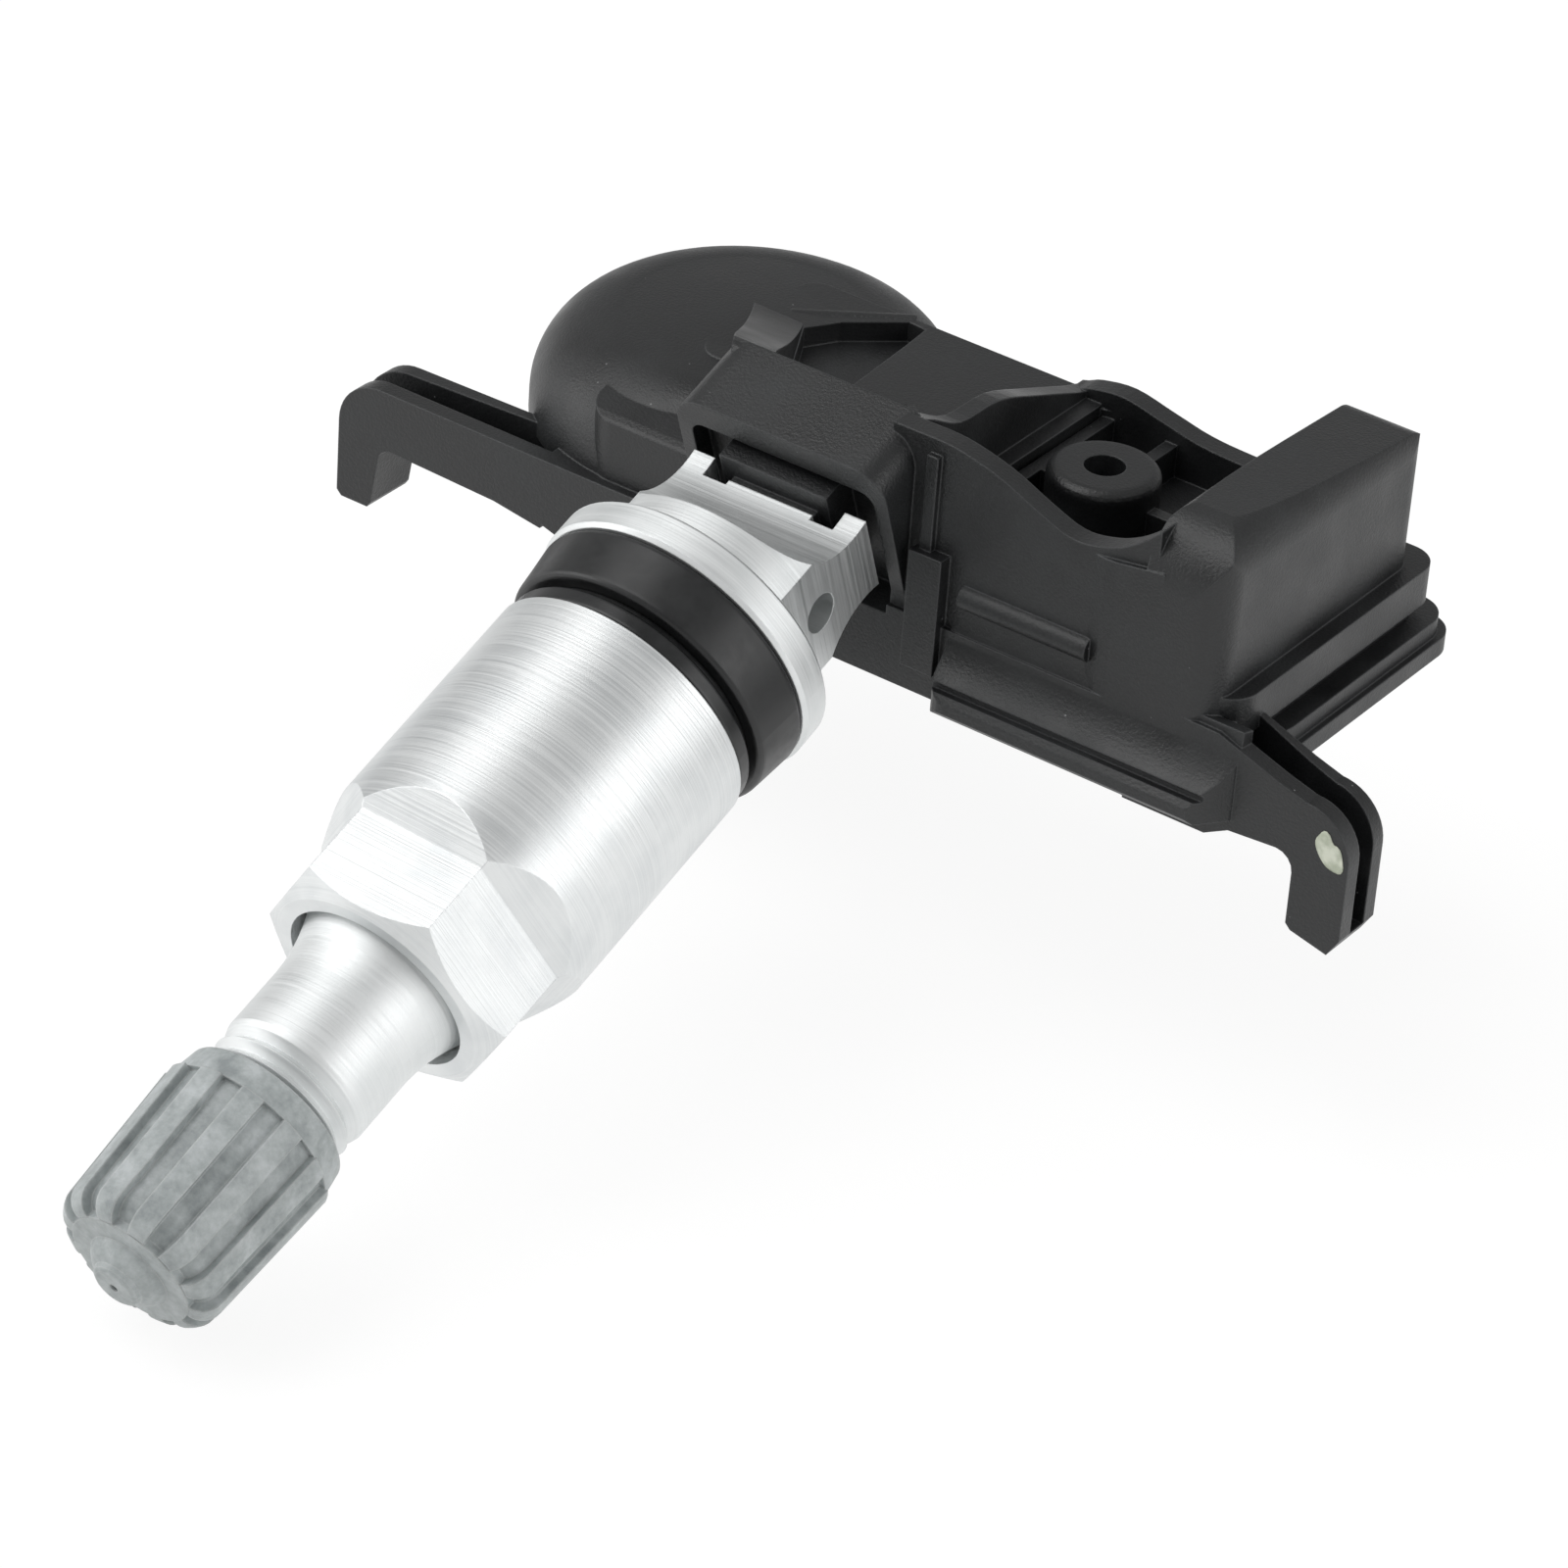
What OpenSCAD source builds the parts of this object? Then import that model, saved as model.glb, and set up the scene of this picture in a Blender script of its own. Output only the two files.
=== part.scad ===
// Clamp-in tyre pressure sensor: an angled aluminium valve screwed to a moulded sensor housing.
// The origin lies on the valve axis where the rubber seal meets the rim. +X runs along the
// housing, +Z is up from the rim well and the valve points along -Y, tilted down.

/* [Valve angle] */
// Angle of the valve below the base of the housing
valve_tilt = 20.5; // [18:0.5:23]

/* [Sleeve nut] */
// Wall of the sleeve round the recess over the seal's neck
nut_wall = 1.4; // [1.2:0.05:1.6]
// Length of the whole nut
nut_l = 19.3; // [18:0.1:21]
// Width across the flats of the hexagon
nut_af = 12; // [11.5:0.1:12.4]
// Length of the hexagon's corner edges, up to the front face
nut_hex_l = 4.9; // [4:0.1:6]
// Length of the sloping end of each flat
nut_runout_l = 1.9; // [1.2:0.1:2.5]
// Diameter of the flat front face
nut_face_d = 11.3; // [10.8:0.1:11.6]
// Length of the bevel round the front face
nut_bevel_l = 0.9; // [0.6:0.1:1.2]
// Diameter of the bore at the front
nut_bore_d = 9.8; // [9.6:0.1:10.2]
// Depth of the open bore in front of the thread
nut_mouth_l = 6; // [4:0.5:8]
// Free space round the seal's neck in the nut
nut_recess_gap = 0.2; // [0.1:0.05:0.3]
// Depth of that recess
nut_recess_l = 1.6; // [1.2:0.1:2.4]
// Turn of the flats about the valve axis
nut_turn = -4; // [-30:1:30]
// Free space between the nut's thread and the stem
nut_gap = 0.08; // [0.05:0.01:0.1]

/* [Rubber seal] */
// Diameter of the band at the rim side
band_front_d = 14.8; // [14.2:0.1:15.2]
// Diameter of the band at the flange side
band_rear_d = 15.3; // [14.8:0.1:15.6]
// Thickness of the band
band_l = 3.05; // [2.4:0.05:3.6]
// Edge radius of the band
band_edge = 0.35; // [0.1:0.05:0.5]
// Diameter of the neck in the rim hole
neck_d = 11.2; // [10.8:0.1:11.3]
// Length of the neck
neck_l = 2.4; // [2:0.1:2.6]

/* [Thrust washer] */
// Width of the washer's step, which faces the rubber
lip_step_w = 0.85; // [0.7:0.05:0.95]
// Overhang of the washer's lip past that step
lip_out = 0.5; // [0.4:0.05:0.55]
// Length of that step
lip_step_l = 0.4; // [0.2:0.05:0.6]
// Thickness of the whole washer
lip_l = 1.45; // [1.2:0.05:1.6]
// Edge radius of the lip
lip_edge = 0.25; // [0.1:0.05:0.3]

/* [Valve stem] */
// Diameter of the flange behind the rubber
flange_d = 15.65; // [15.3:0.05:16]
// Thickness of the flange
flange_l = 1.85; // [1.5:0.05:2.2]
// Edge bevel of the flange
flange_bevel = 0.2; // [0.1:0.05:0.3]
// Diameter of the thread that carries the nut
stem_d = 9.6; // [9.4:0.1:9.7]
// Diameter of the plain neck in front of the nut
stem_neck_d = 7.9; // [7.8:0.1:8.2]
// Place where the neck starts its sweep out to the thread
stem_sweep_s = 23.6; // [23:0.1:24.5]
// Length of that sweep
stem_sweep_l = 3.9; // [3:0.1:4.5]
// Place where the cap's thread starts
thread_s = 27; // [26.5:0.1:27.6]
// Crest diameter of the cap's thread
thread_d = 7.7; // [7.6:0.05:7.75]
// Pitch of the cap's thread
thread_pitch = 0.794; // [0.7:0.001:0.9]
// Depth of the cap's thread
thread_depth = 0.4; // [0.2:0.05:0.45]
// Place of the valve's mouth
mouth_s = 36; // [35.6:0.05:36.2]
// Diameter of the core chamber
chamber_d = 5.4; // [5.2:0.1:5.6]
// Depth of the core chamber
chamber_l = 9.5; // [9:0.1:11]
// Diameter of the air passage
passage_d = 2.6; // [2:0.1:3]

/* [Bracket behind the flange] */
// Diameter of the turned body
bracket_d = 12.3; // [12:0.1:12.8]
// Width across its side flats
bracket_w = 10.3; // [10:0.1:10.6]
// Distance of its rear end behind the rim seat
bracket_s = 12.65; // [12.4:0.05:12.9]
// Radius of the hollow cut above and below the tongue
saddle_r = 4.5; // [4.2:0.1:4.8]
// Distance of the hollow's centre behind the rim seat
saddle_s = 11.5; // [11.2:0.1:11.8]
// Thickness of the tongue left between the hollows
tongue_t = 4.2; // [3.8:0.1:4.6]
// Width of the notch in the tongue's end
notch_w = 7.8; // [7.4:0.1:8]
// Distance of the notch's floor behind the rim seat
notch_s = 11.55; // [11.4:0.05:11.7]
// Width of the raised land in the notch
land_w = 5; // [4.6:0.1:5.4]
// Height of that land
land_h = 0.3; // [0.2:0.05:0.4]
// Diameter of the cross hole that lets the air out
cross_d = 2.1; // [1.8:0.1:2.3]
// Distance of the cross hole behind the rim seat
cross_s = 8.25; // [8:0.05:8.5]

/* [Valve cap] */
// Place of the cap's open end
cap_s = 29.2; // [29:0.05:29.6]
// Length of the cap without its nipple
cap_l = 10; // [9.8:0.05:10.3]
// Diameter of the collar at the open end
collar_rear_d = 8.65; // [8.6:0.05:8.8]
// Diameter of the collar beside the ribs
collar_front_d = 9.1; // [9:0.05:9.2]
// Length of the collar
collar_l = 1.45; // [1.2:0.05:1.7]
// Diameter over the ribs beside the collar
rib_rear_d = 9.45; // [9.35:0.05:9.5]
// Diameter over the ribs at the closed end
rib_front_d = 8.8; // [8.6:0.05:9]
// Depth of the grooves between the ribs
rib_depth = 0.45; // [0.3:0.05:0.5]
// Radius of the closed end's edge
cap_edge = 1.1; // [0.9:0.1:1.3]
// Number of ribs
rib_n = 12; // [10:1:14]
// Share of each step that the rib fills
rib_share = 0.5; // [0.4:0.05:0.6]
// Diameter of the nipple's foot on the closed end
nipple_foot_d = 4.3; // [4:0.1:4.6]
// Diameter of the nipple's tip
nipple_d = 2.5; // [2.2:0.1:2.8]
// Height of the nipple
nipple_h = 1.2; // [1:0.05:1.3]
// Diameter of the pit in the nipple
pit_d = 0.45; // [0.3:0.05:0.6]
// Free space round the thread
cap_gap = 0.08; // [0.05:0.01:0.1]
// Thickness of the sealing disc in the cap
cap_seal_t = 0.7; // [0.5:0.05:0.9]
// Diameter of the hole in the sealing disc
cap_seal_bore_d = 4.6; // [4.4:0.1:5]
// Diameter of the sealing disc
cap_seal_d = 6.8; // [6.6:0.1:7]
// Length of the lead at the end of the cap's thread
cap_lead = 0.5; // [0.4:0.05:0.6]

/* [Valve core] */
// Diameter of the core's barrel
core_d = 5.2; // [5:0.05:5.3]
// Length of the core's barrel
core_l = 6.4; // [6:0.1:6.8]
// Depth of the barrel below the mouth
core_drop = 0.5; // [0.3:0.1:0.8]
// Diameter of the barrel's bore
core_bore_d = 3.2; // [3:0.1:3.4]
// Diameter of the pin
pin_d = 1; // [0.8:0.05:1.1]
// Diameter of the pin's head
pin_head_d = 1.3; // [1.2:0.05:1.4]
// Diameter of the collar that meets the spring
pin_collar_d = 2.4; // [2.2:0.1:2.6]
// Diameter of the plunger on the pin
plunger_d = 3.6; // [3.4:0.1:3.8]
// Travel of the pin
pin_travel = 1; // [0.8:0.1:1.2]
// Wire diameter of the spring
spring_wire = 0.3; // [0.25:0.05:0.35]
// Mean diameter of the spring
spring_d = 2; // [1.8:0.05:2.1]
// Turns of the spring
spring_turns = 6; // [4:1:8]

/* [Housing plan] */
// Left face of the circuit box
box_x0 = 4.8; // [4.4:0.1:5.2]
// Outer end face of the circuit box
box_x1 = 24.2; // [23.9:0.1:24.5]
// Front wall of the circuit box
wall_y = 13.3; // [13.2:0.05:13.5]
// Rear wall of the circuit box
rear_y = 30.4; // [30:0.1:31]
// Level of the rim round the pocket
box_top = 11; // [10.6:0.1:11.2]
// Level of the deck behind the saddle
deck_z = 6; // [5.8:0.1:6.2]
// Level of the housing's lower edge
base_z = 0.1; // [0:0.05:0.2]
// Inner side of the tall end
end_x0 = 19.8; // [19.4:0.1:20.2]
// Corner radius of the tall end
end_r = 1.7; // [1.4:0.1:1.9]
// Top edge radius of the tall end
end_top_r = 1.9; // [1.6:0.1:2.2]
// Level of the tall end's top at the front
end_top = 11.4; // [11.2:0.05:11.6]
// Fall of that top towards the rear
end_fall = 0.8; // [0.6:0.1:1]
// Radius of the tall end's front curve
end_front_r = 3.2; // [2.8:0.1:3.6]
// Radius of the tall end's inner top edge
end_inner_r = 0.5; // [0.3:0.1:0.7]
// Rear face of the tall end
end_rear_y = 31.5; // [31.2:0.1:31.8]
// Wall thickness of the circuit box
box_wall = 1.2; // [1.1:0.1:1.4]
// Thickness of the rim between the pocket and the deck
rim_t = 1; // [0.8:0.1:1.2]
// Height of the step along the end face
step_h = 2.1; // [1.8:0.1:2.4]
// Level of the lower edge of that step
step_z = 0.95; // [0.8:0.05:1.1]
// Depth of the step
step_out = 0.95; // [0.7:0.05:1.1]

/* [Pocket and pressure port] */
// Level of the pocket's floor
pocket_floor = 3.6; // [3.4:0.1:3.8]
// Thickness of the pocket's floor
floor_t = 1.1; // [1:0.1:1.2]
// Lowest level of the front rim
front_dip_z = 8.7; // [8.4:0.1:9]
// Centre of the port boss along the housing
boss_x = 11; // [10.8:0.1:11.2]
// Centre of the port boss across the housing
boss_y = 23; // [22.8:0.1:23.2]
// Diameter of the port boss
boss_d = 5.75; // [5.4:0.05:6]
// Level of the boss's top
boss_z = 6.8; // [6.6:0.1:7]
// Edge radius of the boss
boss_edge = 0.6; // [0.4:0.1:0.8]
// Diameter of the port
port_d = 2.1; // [1.8:0.1:2.3]
// Thickness of the webs in the pocket
web_t = 0.7; // [0.5:0.1:0.9]
// Level of the webs' top
web_z = 5.4; // [5.2:0.1:5.6]

/* [Battery dome] */
// Centre of the dome along the housing
dome_x = -11.7; // [-11.8:0.1:-11.6]
// Centre of the dome across the housing
dome_y = 24.8; // [24.7:0.1:24.9]
// Diameter of the dome
dome_d = 22.2; // [22:0.05:22.3]
// Level of the dome's top
dome_top = 6.1; // [6:0.05:6.2]
// Radius of the dome's shoulder
dome_r = 4.6; // [4.4:0.1:4.8]
// Rise of the dome's crown
dome_crown = 0.3; // [0.2:0.05:0.4]

/* [Front of the body] */
// Level of the front wall's edge beside the hood
front_z = 4.5; // [4.3:0.1:4.7]
// Level of the beam's underside
beam_z = -3.1; // [-3.2:0.05:-3]

/* [Hood over the bracket] */
// Distance of the hood's front behind the rim seat
hood_s = 13.1; // [13:0.05:13.2]
// Width of the hood
hood_w = 12.5; // [12.3:0.1:12.8]
// Height of the hood above the valve axis
hood_h = 5.2; // [5:0.1:5.4]
// Corner radius of the hood
hood_r = 1.6; // [1.4:0.1:2]
// Rear face of the saddle
saddle_rear_y = 14.8; // [14.7:0.05:14.9]
// Width of the recess that takes the bracket
mouth_w = 10.9; // [10.8:0.05:11.1]
// Height of that recess above the valve axis
mouth_h = 3.7; // [3.5:0.1:3.9]
// Depth of that recess
mouth_l = 1.1; // [0.9:0.1:1.3]
// Width of the pad in the bracket's notch
pad_w = 6.4; // [6:0.1:6.8]
// Height of the pad above the valve axis
pad_h = 3.2; // [3:0.1:3.4]

// Level of the driver's recess floor
recess_z = 2.2; // [2:0.1:2.4]

/* [Arms] */
// Front face of the arms
arm_y = 13; // [12.9:0.05:13.1]
// Depth of the arms at their feet
arm_foot_d = 3.1; // [2.9:0.1:3.3]
// Depth of the arms at the body
arm_root_d = 3.5; // [3.3:0.1:3.7]
// Thickness of the arms' front plates
arm_plate = 1; // [0.8:0.05:1.1]
// Width of the arms' slots at the feet
slot_foot_w = 1.05; // [0.9:0.05:1.2]
// Width of the arms' slots at the body
slot_root_w = 2; // [1.7:0.1:2.2]
// Thickness of the arms' inner webs
arm_web = 1.1; // [0.9:0.05:1.2]
// Outer side of the left foot
left_x = -28.8; // [-29.2:0.1:-28.4]
// Width of the left foot
left_foot_w = 2.2; // [2:0.1:2.5]
// Level of the left foot
left_foot_z = -6.15; // [-6.5:0.05:-5.8]
// Level of the left arm's top edge
left_top_z = 0.93; // [0.85:0.01:1]
// Level of the left arm's lower edge
left_under_z = -2.4; // [-2.55:0.05:-2.25]
// Outer side of the right foot
right_x = 32.5; // [32.1:0.1:32.9]
// Width of the right foot
right_foot_w = 3; // [2.7:0.1:3.2]
// Level of the right foot
right_foot_z = -7.65; // [-8:0.05:-7.3]
// Level of the right arm's top edge at its elbow
right_top_z = 0.1; // [0:0.05:0.2]
// Level of the right arm's lower edge
right_under_z = -3; // [-3.15:0.05:-2.85]
// Rise of the right arm's top edge towards the body
right_rise = 1.8; // [1.5:0.1:2]
// Outer radius of the elbows
elbow_r = 2.6; // [2.3:0.1:2.8]

/* [Front lip] */
// Left end of the lip
lip_x = 9.2; // [9:0.1:9.5]
// Front edge of the lip
lip_y = 11; // [10.8:0.05:11.2]
// Level of the lip's ledge
lip_z = -1.1; // [-1.3:0.05:-0.9]
// Height of the lip
lip_h = 1.5; // [1.3:0.05:1.7]
// Level where the panel starts to flare into the lip
flare_z = 2; // [1.8:0.1:2.2]

// Level of the bead on the front panel
bead_z = 3.1; // [2.9:0.1:3.3]
// Length of that bead
bead_l = 7.4; // [7.2:0.1:7.6]
// Radius of that bead
bead_r = 0.65; // [0.5:0.05:0.75]

/* [Base cover] */
// Thickness of the cover
cover_t = 2; // [1.8:0.1:2.2]
// Overhang of the cover past the end face
cover_end = 1.9; // [1.6:0.1:2.2]
// Overhang of the cover behind the pocket
cover_mid = 0.8; // [0.6:0.1:1]
// Set-back of the cover's upper layer
cover_set = 0.35; // [0.2:0.05:0.5]

/* [Electronics] */
// Thickness of the circuit board
board_t = 0.8; // [0.6:0.1:1]
// Level of the board's underside
board_z = 0.4; // [0.3:0.05:0.5]
// Diameter of the battery cell
cell_d = 16; // [15.8:0.05:16.1]
// Thickness of the battery cell
cell_t = 3.2; // [3:0.1:3.3]
// Level of the cell's underside
cell_z = 0.9; // [0.8:0.05:1]
// Thickness of the cell's tabs
tab_t = 0.2; // [0.15:0.05:0.25]
// Width of the cell's tabs
tab_w = 3; // [2.5:0.1:3.5]
// Width of the sensor chip
chip_w = 5; // [4.6:0.1:5.2]
// Length of the wake-up coil's core
coil_l = 11; // [10:0.1:12]
// Thickness of the wake-up coil's core
coil_t = 2; // [1.8:0.1:2.2]
// Thickness of the coil's winding
winding_t = 0.4; // [0.3:0.05:0.5]
// Thickness of the sensor chip
chip_t = 0.9; // [0.8:0.05:1]
// Length of the crystal
crystal_l = 3.2; // [2.8:0.1:3.5]
// Width of the crystal
crystal_w = 2.5; // [2:0.1:2.6]
// Thickness of the crystal
crystal_t = 0.8; // [0.6:0.1:1]
// Length of a chip capacitor
capacitor_l = 1.8; // [1.4:0.1:2]
// Width of a chip capacitor
capacitor_w = 1; // [0.8:0.1:1.2]
// Thickness of a chip capacitor
capacitor_t = 0.7; // [0.5:0.1:0.8]
// Distance between the chip capacitors
capacitor_step = 2.4; // [2:0.1:2.5]
// Width of the aerial's strip
aerial_w = 0.6; // [0.5:0.05:0.8]
// Height of the aerial above the board
aerial_h = 1.2; // [1:0.1:1.2]

/* [Fixing screw] */
// Thread diameter of the screw
screw_d = 2.5; // [2.3:0.1:2.6]
// Head diameter of the screw
screw_head_d = 4.4; // [4.2:0.1:4.6]
// Head height of the screw
screw_head_h = 1.6; // [1.4:0.1:1.8]
// Depth of the screw in the valve
screw_grip = 2; // [1.6:0.1:2.2]

/* [Hidden] */
$fn = 64;
tiny = 0.01;
seat_gap = 0.05;
far = 40;

plastic = "#26282a";
silver = "#d9dcde";
black_rubber = "#17181a";
cap_grey = "#8d9296";
brass = "#b59a55";
board_green = "#2f5d3a";

lip_bore_d = neck_d + 0.2;
lip_step_d = lip_bore_d + 2 * lip_step_w;
lip_d = lip_step_d + 2 * lip_out;
nut_recess_d = neck_d + 2 * nut_recess_gap;
nut_d = nut_recess_d + 2 * nut_wall;
nut_s = lip_l + 0.02;
nut_front_s = nut_s + nut_l;
nut_corner_d = nut_af / cos(30);
flange_s = -band_l - flange_l;
saddle_n = saddle_r + tongue_t / 2;
saddle_top = (hood_h + saddle_rear_y * sin(valve_tilt)) / cos(valve_tilt);
cap_front_s = cap_s + cap_l;
cap_inner_s = mouth_s + cap_seal_t + seat_gap;
rib_foot_s = cap_s + collar_l;
core_s = mouth_s - core_drop;
chamber_s = mouth_s - chamber_l;
arm_root_y = arm_y + arm_root_d;
arm_foot_y = arm_y + arm_foot_d;
cover_z = base_z - cover_t;
board_top = board_z + board_t;
saddle_axis_s = -saddle_rear_y / cos(valve_tilt);
head_s = saddle_axis_s + 0.6;
cell_top = cell_z + cell_t;
aerial_x0 = box_x0 + box_wall + aerial_w;
aerial_x1 = end_x0 - 2 * aerial_w;
aerial_y = rear_y - box_wall - 2 * aerial_w;
tab_x = dome_x + cell_d / 2 + 1;
board_x0 = box_x0 + box_wall;

// Points along an arc from angle a0 to a1
function arc(x, y, r, a0, a1, n = 8) =
    [for (i = [0 : n]) [x + r * cos(a0 + (a1 - a0) * i / n), y + r * sin(a0 + (a1 - a0) * i / n)]];

// Smooth curve through the points between the first and the last
function spline(p, n = 4) = concat([for (i = [1 : len(p) - 3]) for (k = [0 : n - 1])
    let (t = k / n, a = p[i - 1], b = p[i], c = p[i + 1], d = p[i + 2])
    (2 * b + (c - a) * t + (2 * a - 5 * b + 4 * c - d) * t * t + (3 * b - a - 3 * c + d) * t * t * t) / 2],
    [p[len(p) - 2]]);

// Quarter disc round a corner's centre, turned by the given angle
module quarter(x, y, r, turn) {
    translate([x, y]) rotate(turn) intersection() {
        circle(r = r);
        square(r + 1);
    }
}

// Rectangle with round corners
module round_rect(x0, x1, y0, y1, r) {
    polygon([[x0 + r, y0], [x1 - r, y0], [x1, y0 + r], [x1, y1 - r], [x1 - r, y1], [x0 + r, y1],
             [x0, y1 - r], [x0, y0 + r]]);
    quarter(x1 - r, y1 - r, r, 0);
    quarter(x0 + r, y1 - r, r, 90);
    quarter(x0 + r, y0 + r, r, 180);
    quarter(x1 - r, y0 + r, r, 270);
}

// Turns its children's z axis onto the valve axis
module on_valve() {
    rotate([90 + valve_tilt, 0, 0]) children();
}

// Upright block with round corners
module slab(x0, x1, y0, y1, z0, z1, r) {
    translate([0, 0, z0]) linear_extrude(z1 - z0) round_rect(x0, x1, y0, y1, r);
}

// Outline in x and z, with any round corners as children, carried from y0 to y1
module side_form(y0, y1, outline) {
    translate([0, y1, 0]) rotate([90, 0, 0]) linear_extrude(y1 - y0) {
        polygon(outline);
        children();
    }
}

// Outline in y and z, with any round corners as children, carried from x0 to x1
module end_form(x0, x1, outline) {
    translate([x0, 0, 0]) rotate([90, 0, 90]) linear_extrude(x1 - x0) {
        polygon(outline);
        children();
    }
}

module tube(s0, s1, d) {
    translate([0, 0, s0]) cylinder(h = s1 - s0, d = d);
}

// Side view of the left arm with its foot and elbow
function left_outline() = concat(
    [[dome_x, left_top_z]],
    [[left_x + elbow_r, left_top_z], [left_x, left_top_z - elbow_r]],
    [[left_x, left_foot_z + 0.3], [left_x + 0.3, left_foot_z],
     [left_x + left_foot_w - 0.2, left_foot_z], [left_x + left_foot_w, left_foot_z + 0.3]],
    arc(left_x + left_foot_w + 1.2, left_under_z - 0.8, 0.8, 180, 90, 4),
    [[dome_x - 7, left_under_z - 0.2], [dome_x - 2.7, left_under_z - 0.8], [dome_x, left_under_z - 0.9]]);

// Side view of the right arm with its foot and elbow
function right_outline() = concat(
    [[end_x0, right_under_z - 0.9], [box_x1 + 0.3, right_under_z - 0.9], [box_x1 + 1.6, right_under_z - 0.2]],
    arc(right_x - right_foot_w - 1, right_under_z - 1, 1, 90, 0, 4),
    [[right_x - right_foot_w, right_foot_z + 0.8], [right_x - right_foot_w + 0.3, right_foot_z + 0.5],
     [right_x - 0.6, right_foot_z], [right_x, right_foot_z + 1]],
    [[right_x, right_top_z - elbow_r], [right_x - elbow_r, right_top_z]],
    [[box_x1 + 4.1, right_top_z + 0.45], [box_x1 + 0.5, right_top_z + right_rise - 0.1],
     [end_x0, right_top_z + right_rise]]);

// Plan view of an arm between its body end and its foot end
function arm_plan(root_x, foot_x) =
    [[root_x, arm_y], [foot_x, arm_y], [foot_x, arm_foot_y], [root_x, arm_root_y]];

// Plan view of an arm's slot
function slot_plan(root_x, foot_x) =
    [[root_x, arm_y + arm_plate], [foot_x, arm_y + arm_plate], [foot_x, arm_y + arm_plate + slot_foot_w],
     [root_x, arm_y + arm_plate + slot_root_w]];

module left_arm() {
    difference() {
        intersection() {
            side_form(arm_y - 1, arm_root_y + 1, left_outline())
                quarter(left_x + elbow_r, left_top_z - elbow_r, elbow_r, 90);
            translate([0, 0, -far / 2]) linear_extrude(far) polygon(arm_plan(dome_x - 4, left_x - 1));
        }
        translate([0, 0, left_under_z + arm_web]) linear_extrude(far) polygon(slot_plan(dome_x - 4,
            left_x - 2));
        translate([0, 0, left_foot_z + 0.8]) linear_extrude(far) intersection() {
            polygon(slot_plan(dome_x - 4, left_x - 2));
            translate([left_x - 2, 0]) square([2 + left_foot_w - arm_web, far]);
        }
    }
}

module right_arm() {
    difference() {
        intersection() {
            side_form(arm_y - 1, arm_root_y + 1, right_outline())
                quarter(right_x - elbow_r, right_top_z - elbow_r, elbow_r, 0);
            translate([0, 0, -far / 2]) linear_extrude(far) polygon(arm_plan(end_x0, right_x + 1));
        }
        translate([0, 0, right_under_z + arm_web]) linear_extrude(far)
            polygon(slot_plan(box_x1 + 0.6, right_x + 2));
        translate([0, 0, right_foot_z + 0.9]) linear_extrude(far) intersection() {
            polygon(slot_plan(box_x1 + 0.6, right_x + 2));
            translate([right_x - right_foot_w + arm_web, 0]) square([right_foot_w + 2, far]);
        }
    }
}

// Front view of the front wall with its dipping rim
function rim_front() = concat(
    [[box_x0, base_z], [end_x0 + 0.5, base_z], [end_x0 + 0.5, box_top]],
    spline([[end_x0 + 1, box_top + 0.8], [end_x0 + 0.2, box_top - 0.3], [end_x0 - 1.3, front_dip_z + 0.8],
            [end_x0 - 2.9, front_dip_z + 0.15], [boss_x + 4.3, front_dip_z], [boss_x + 2.4,
                front_dip_z + 0.65],
            [boss_x, front_dip_z + 1.65], [boss_x - 2.6, box_top - 0.05], [box_x0 + 1.4, box_top],
            [box_x0, box_top]], 4),
    [[box_x0, box_top]]);

// End view of the left wall, falling towards the rear
function rim_side() =
    concat([[wall_y, base_z], [rear_y, base_z]],
           spline([[rear_y, deck_z - 1], [rear_y, deck_z - 0.1], [rear_y - 1.9, deck_z + 0.6],
               [rear_y - 5.6, deck_z + 2],
                   [rear_y - 9.2, box_top - 1.75], [rear_y - 12.6, box_top - 1.55],
                       [saddle_rear_y + 0.6, box_top - 0.4],
                   [saddle_rear_y - 0.4, box_top], [wall_y, box_top]], 4),
           [[wall_y, box_top]]);

// Rear view of the rear wall with its low hump
function rim_rear() =
    concat([[box_x0, base_z], [end_x0 + 0.5, base_z]],
           spline([[end_x0 + 5, deck_z - 0.3], [end_x0 + 0.5, deck_z - 0.3], [boss_x + 4.2, deck_z - 0.25],
                   [boss_x + 1.6, deck_z - 0.1], [boss_x - 0.6, deck_z + 0.35], [boss_x - 3, deck_z + 0.85],
                   [boss_x - 5, deck_z + 0.6], [box_x0, deck_z + 0.15], [box_x0 - 2, deck_z]], 4));

// Side view of the tall end, with its big front curve
function end_side() = [
    [arm_y, base_z], [arm_y, end_top - end_front_r], [arm_y + end_front_r, end_top],
    [end_rear_y - end_r, end_top - end_fall], [end_rear_y, end_top - end_fall - end_r], [end_rear_y, base_z]];

// Cross-section of the tall end, round at its outer top edge
function end_front() = [
    [end_x0, base_z], [end_x0, end_top - end_inner_r], [end_x0 + end_inner_r, end_top],
    [box_x1 - end_top_r, end_top], [box_x1, end_top - end_top_r], [box_x1, base_z]];

module tall_end() {
    intersection() {
        end_form(end_x0, box_x1, end_side()) {
            quarter(arm_y + end_front_r, end_top - end_front_r, end_front_r, 90);
            quarter(end_rear_y - end_r, end_top - end_fall - end_r, end_r, 0);
        }
        side_form(arm_y, end_rear_y, end_front()) {
            quarter(end_x0 + end_inner_r, end_top - end_inner_r, end_inner_r, 90);
            quarter(box_x1 - end_top_r, end_top - end_top_r, end_top_r, 0);
        }
        slab(end_x0 - 2 * end_r, box_x1, arm_y, end_rear_y, base_z, far, end_r);
    }
}

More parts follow.
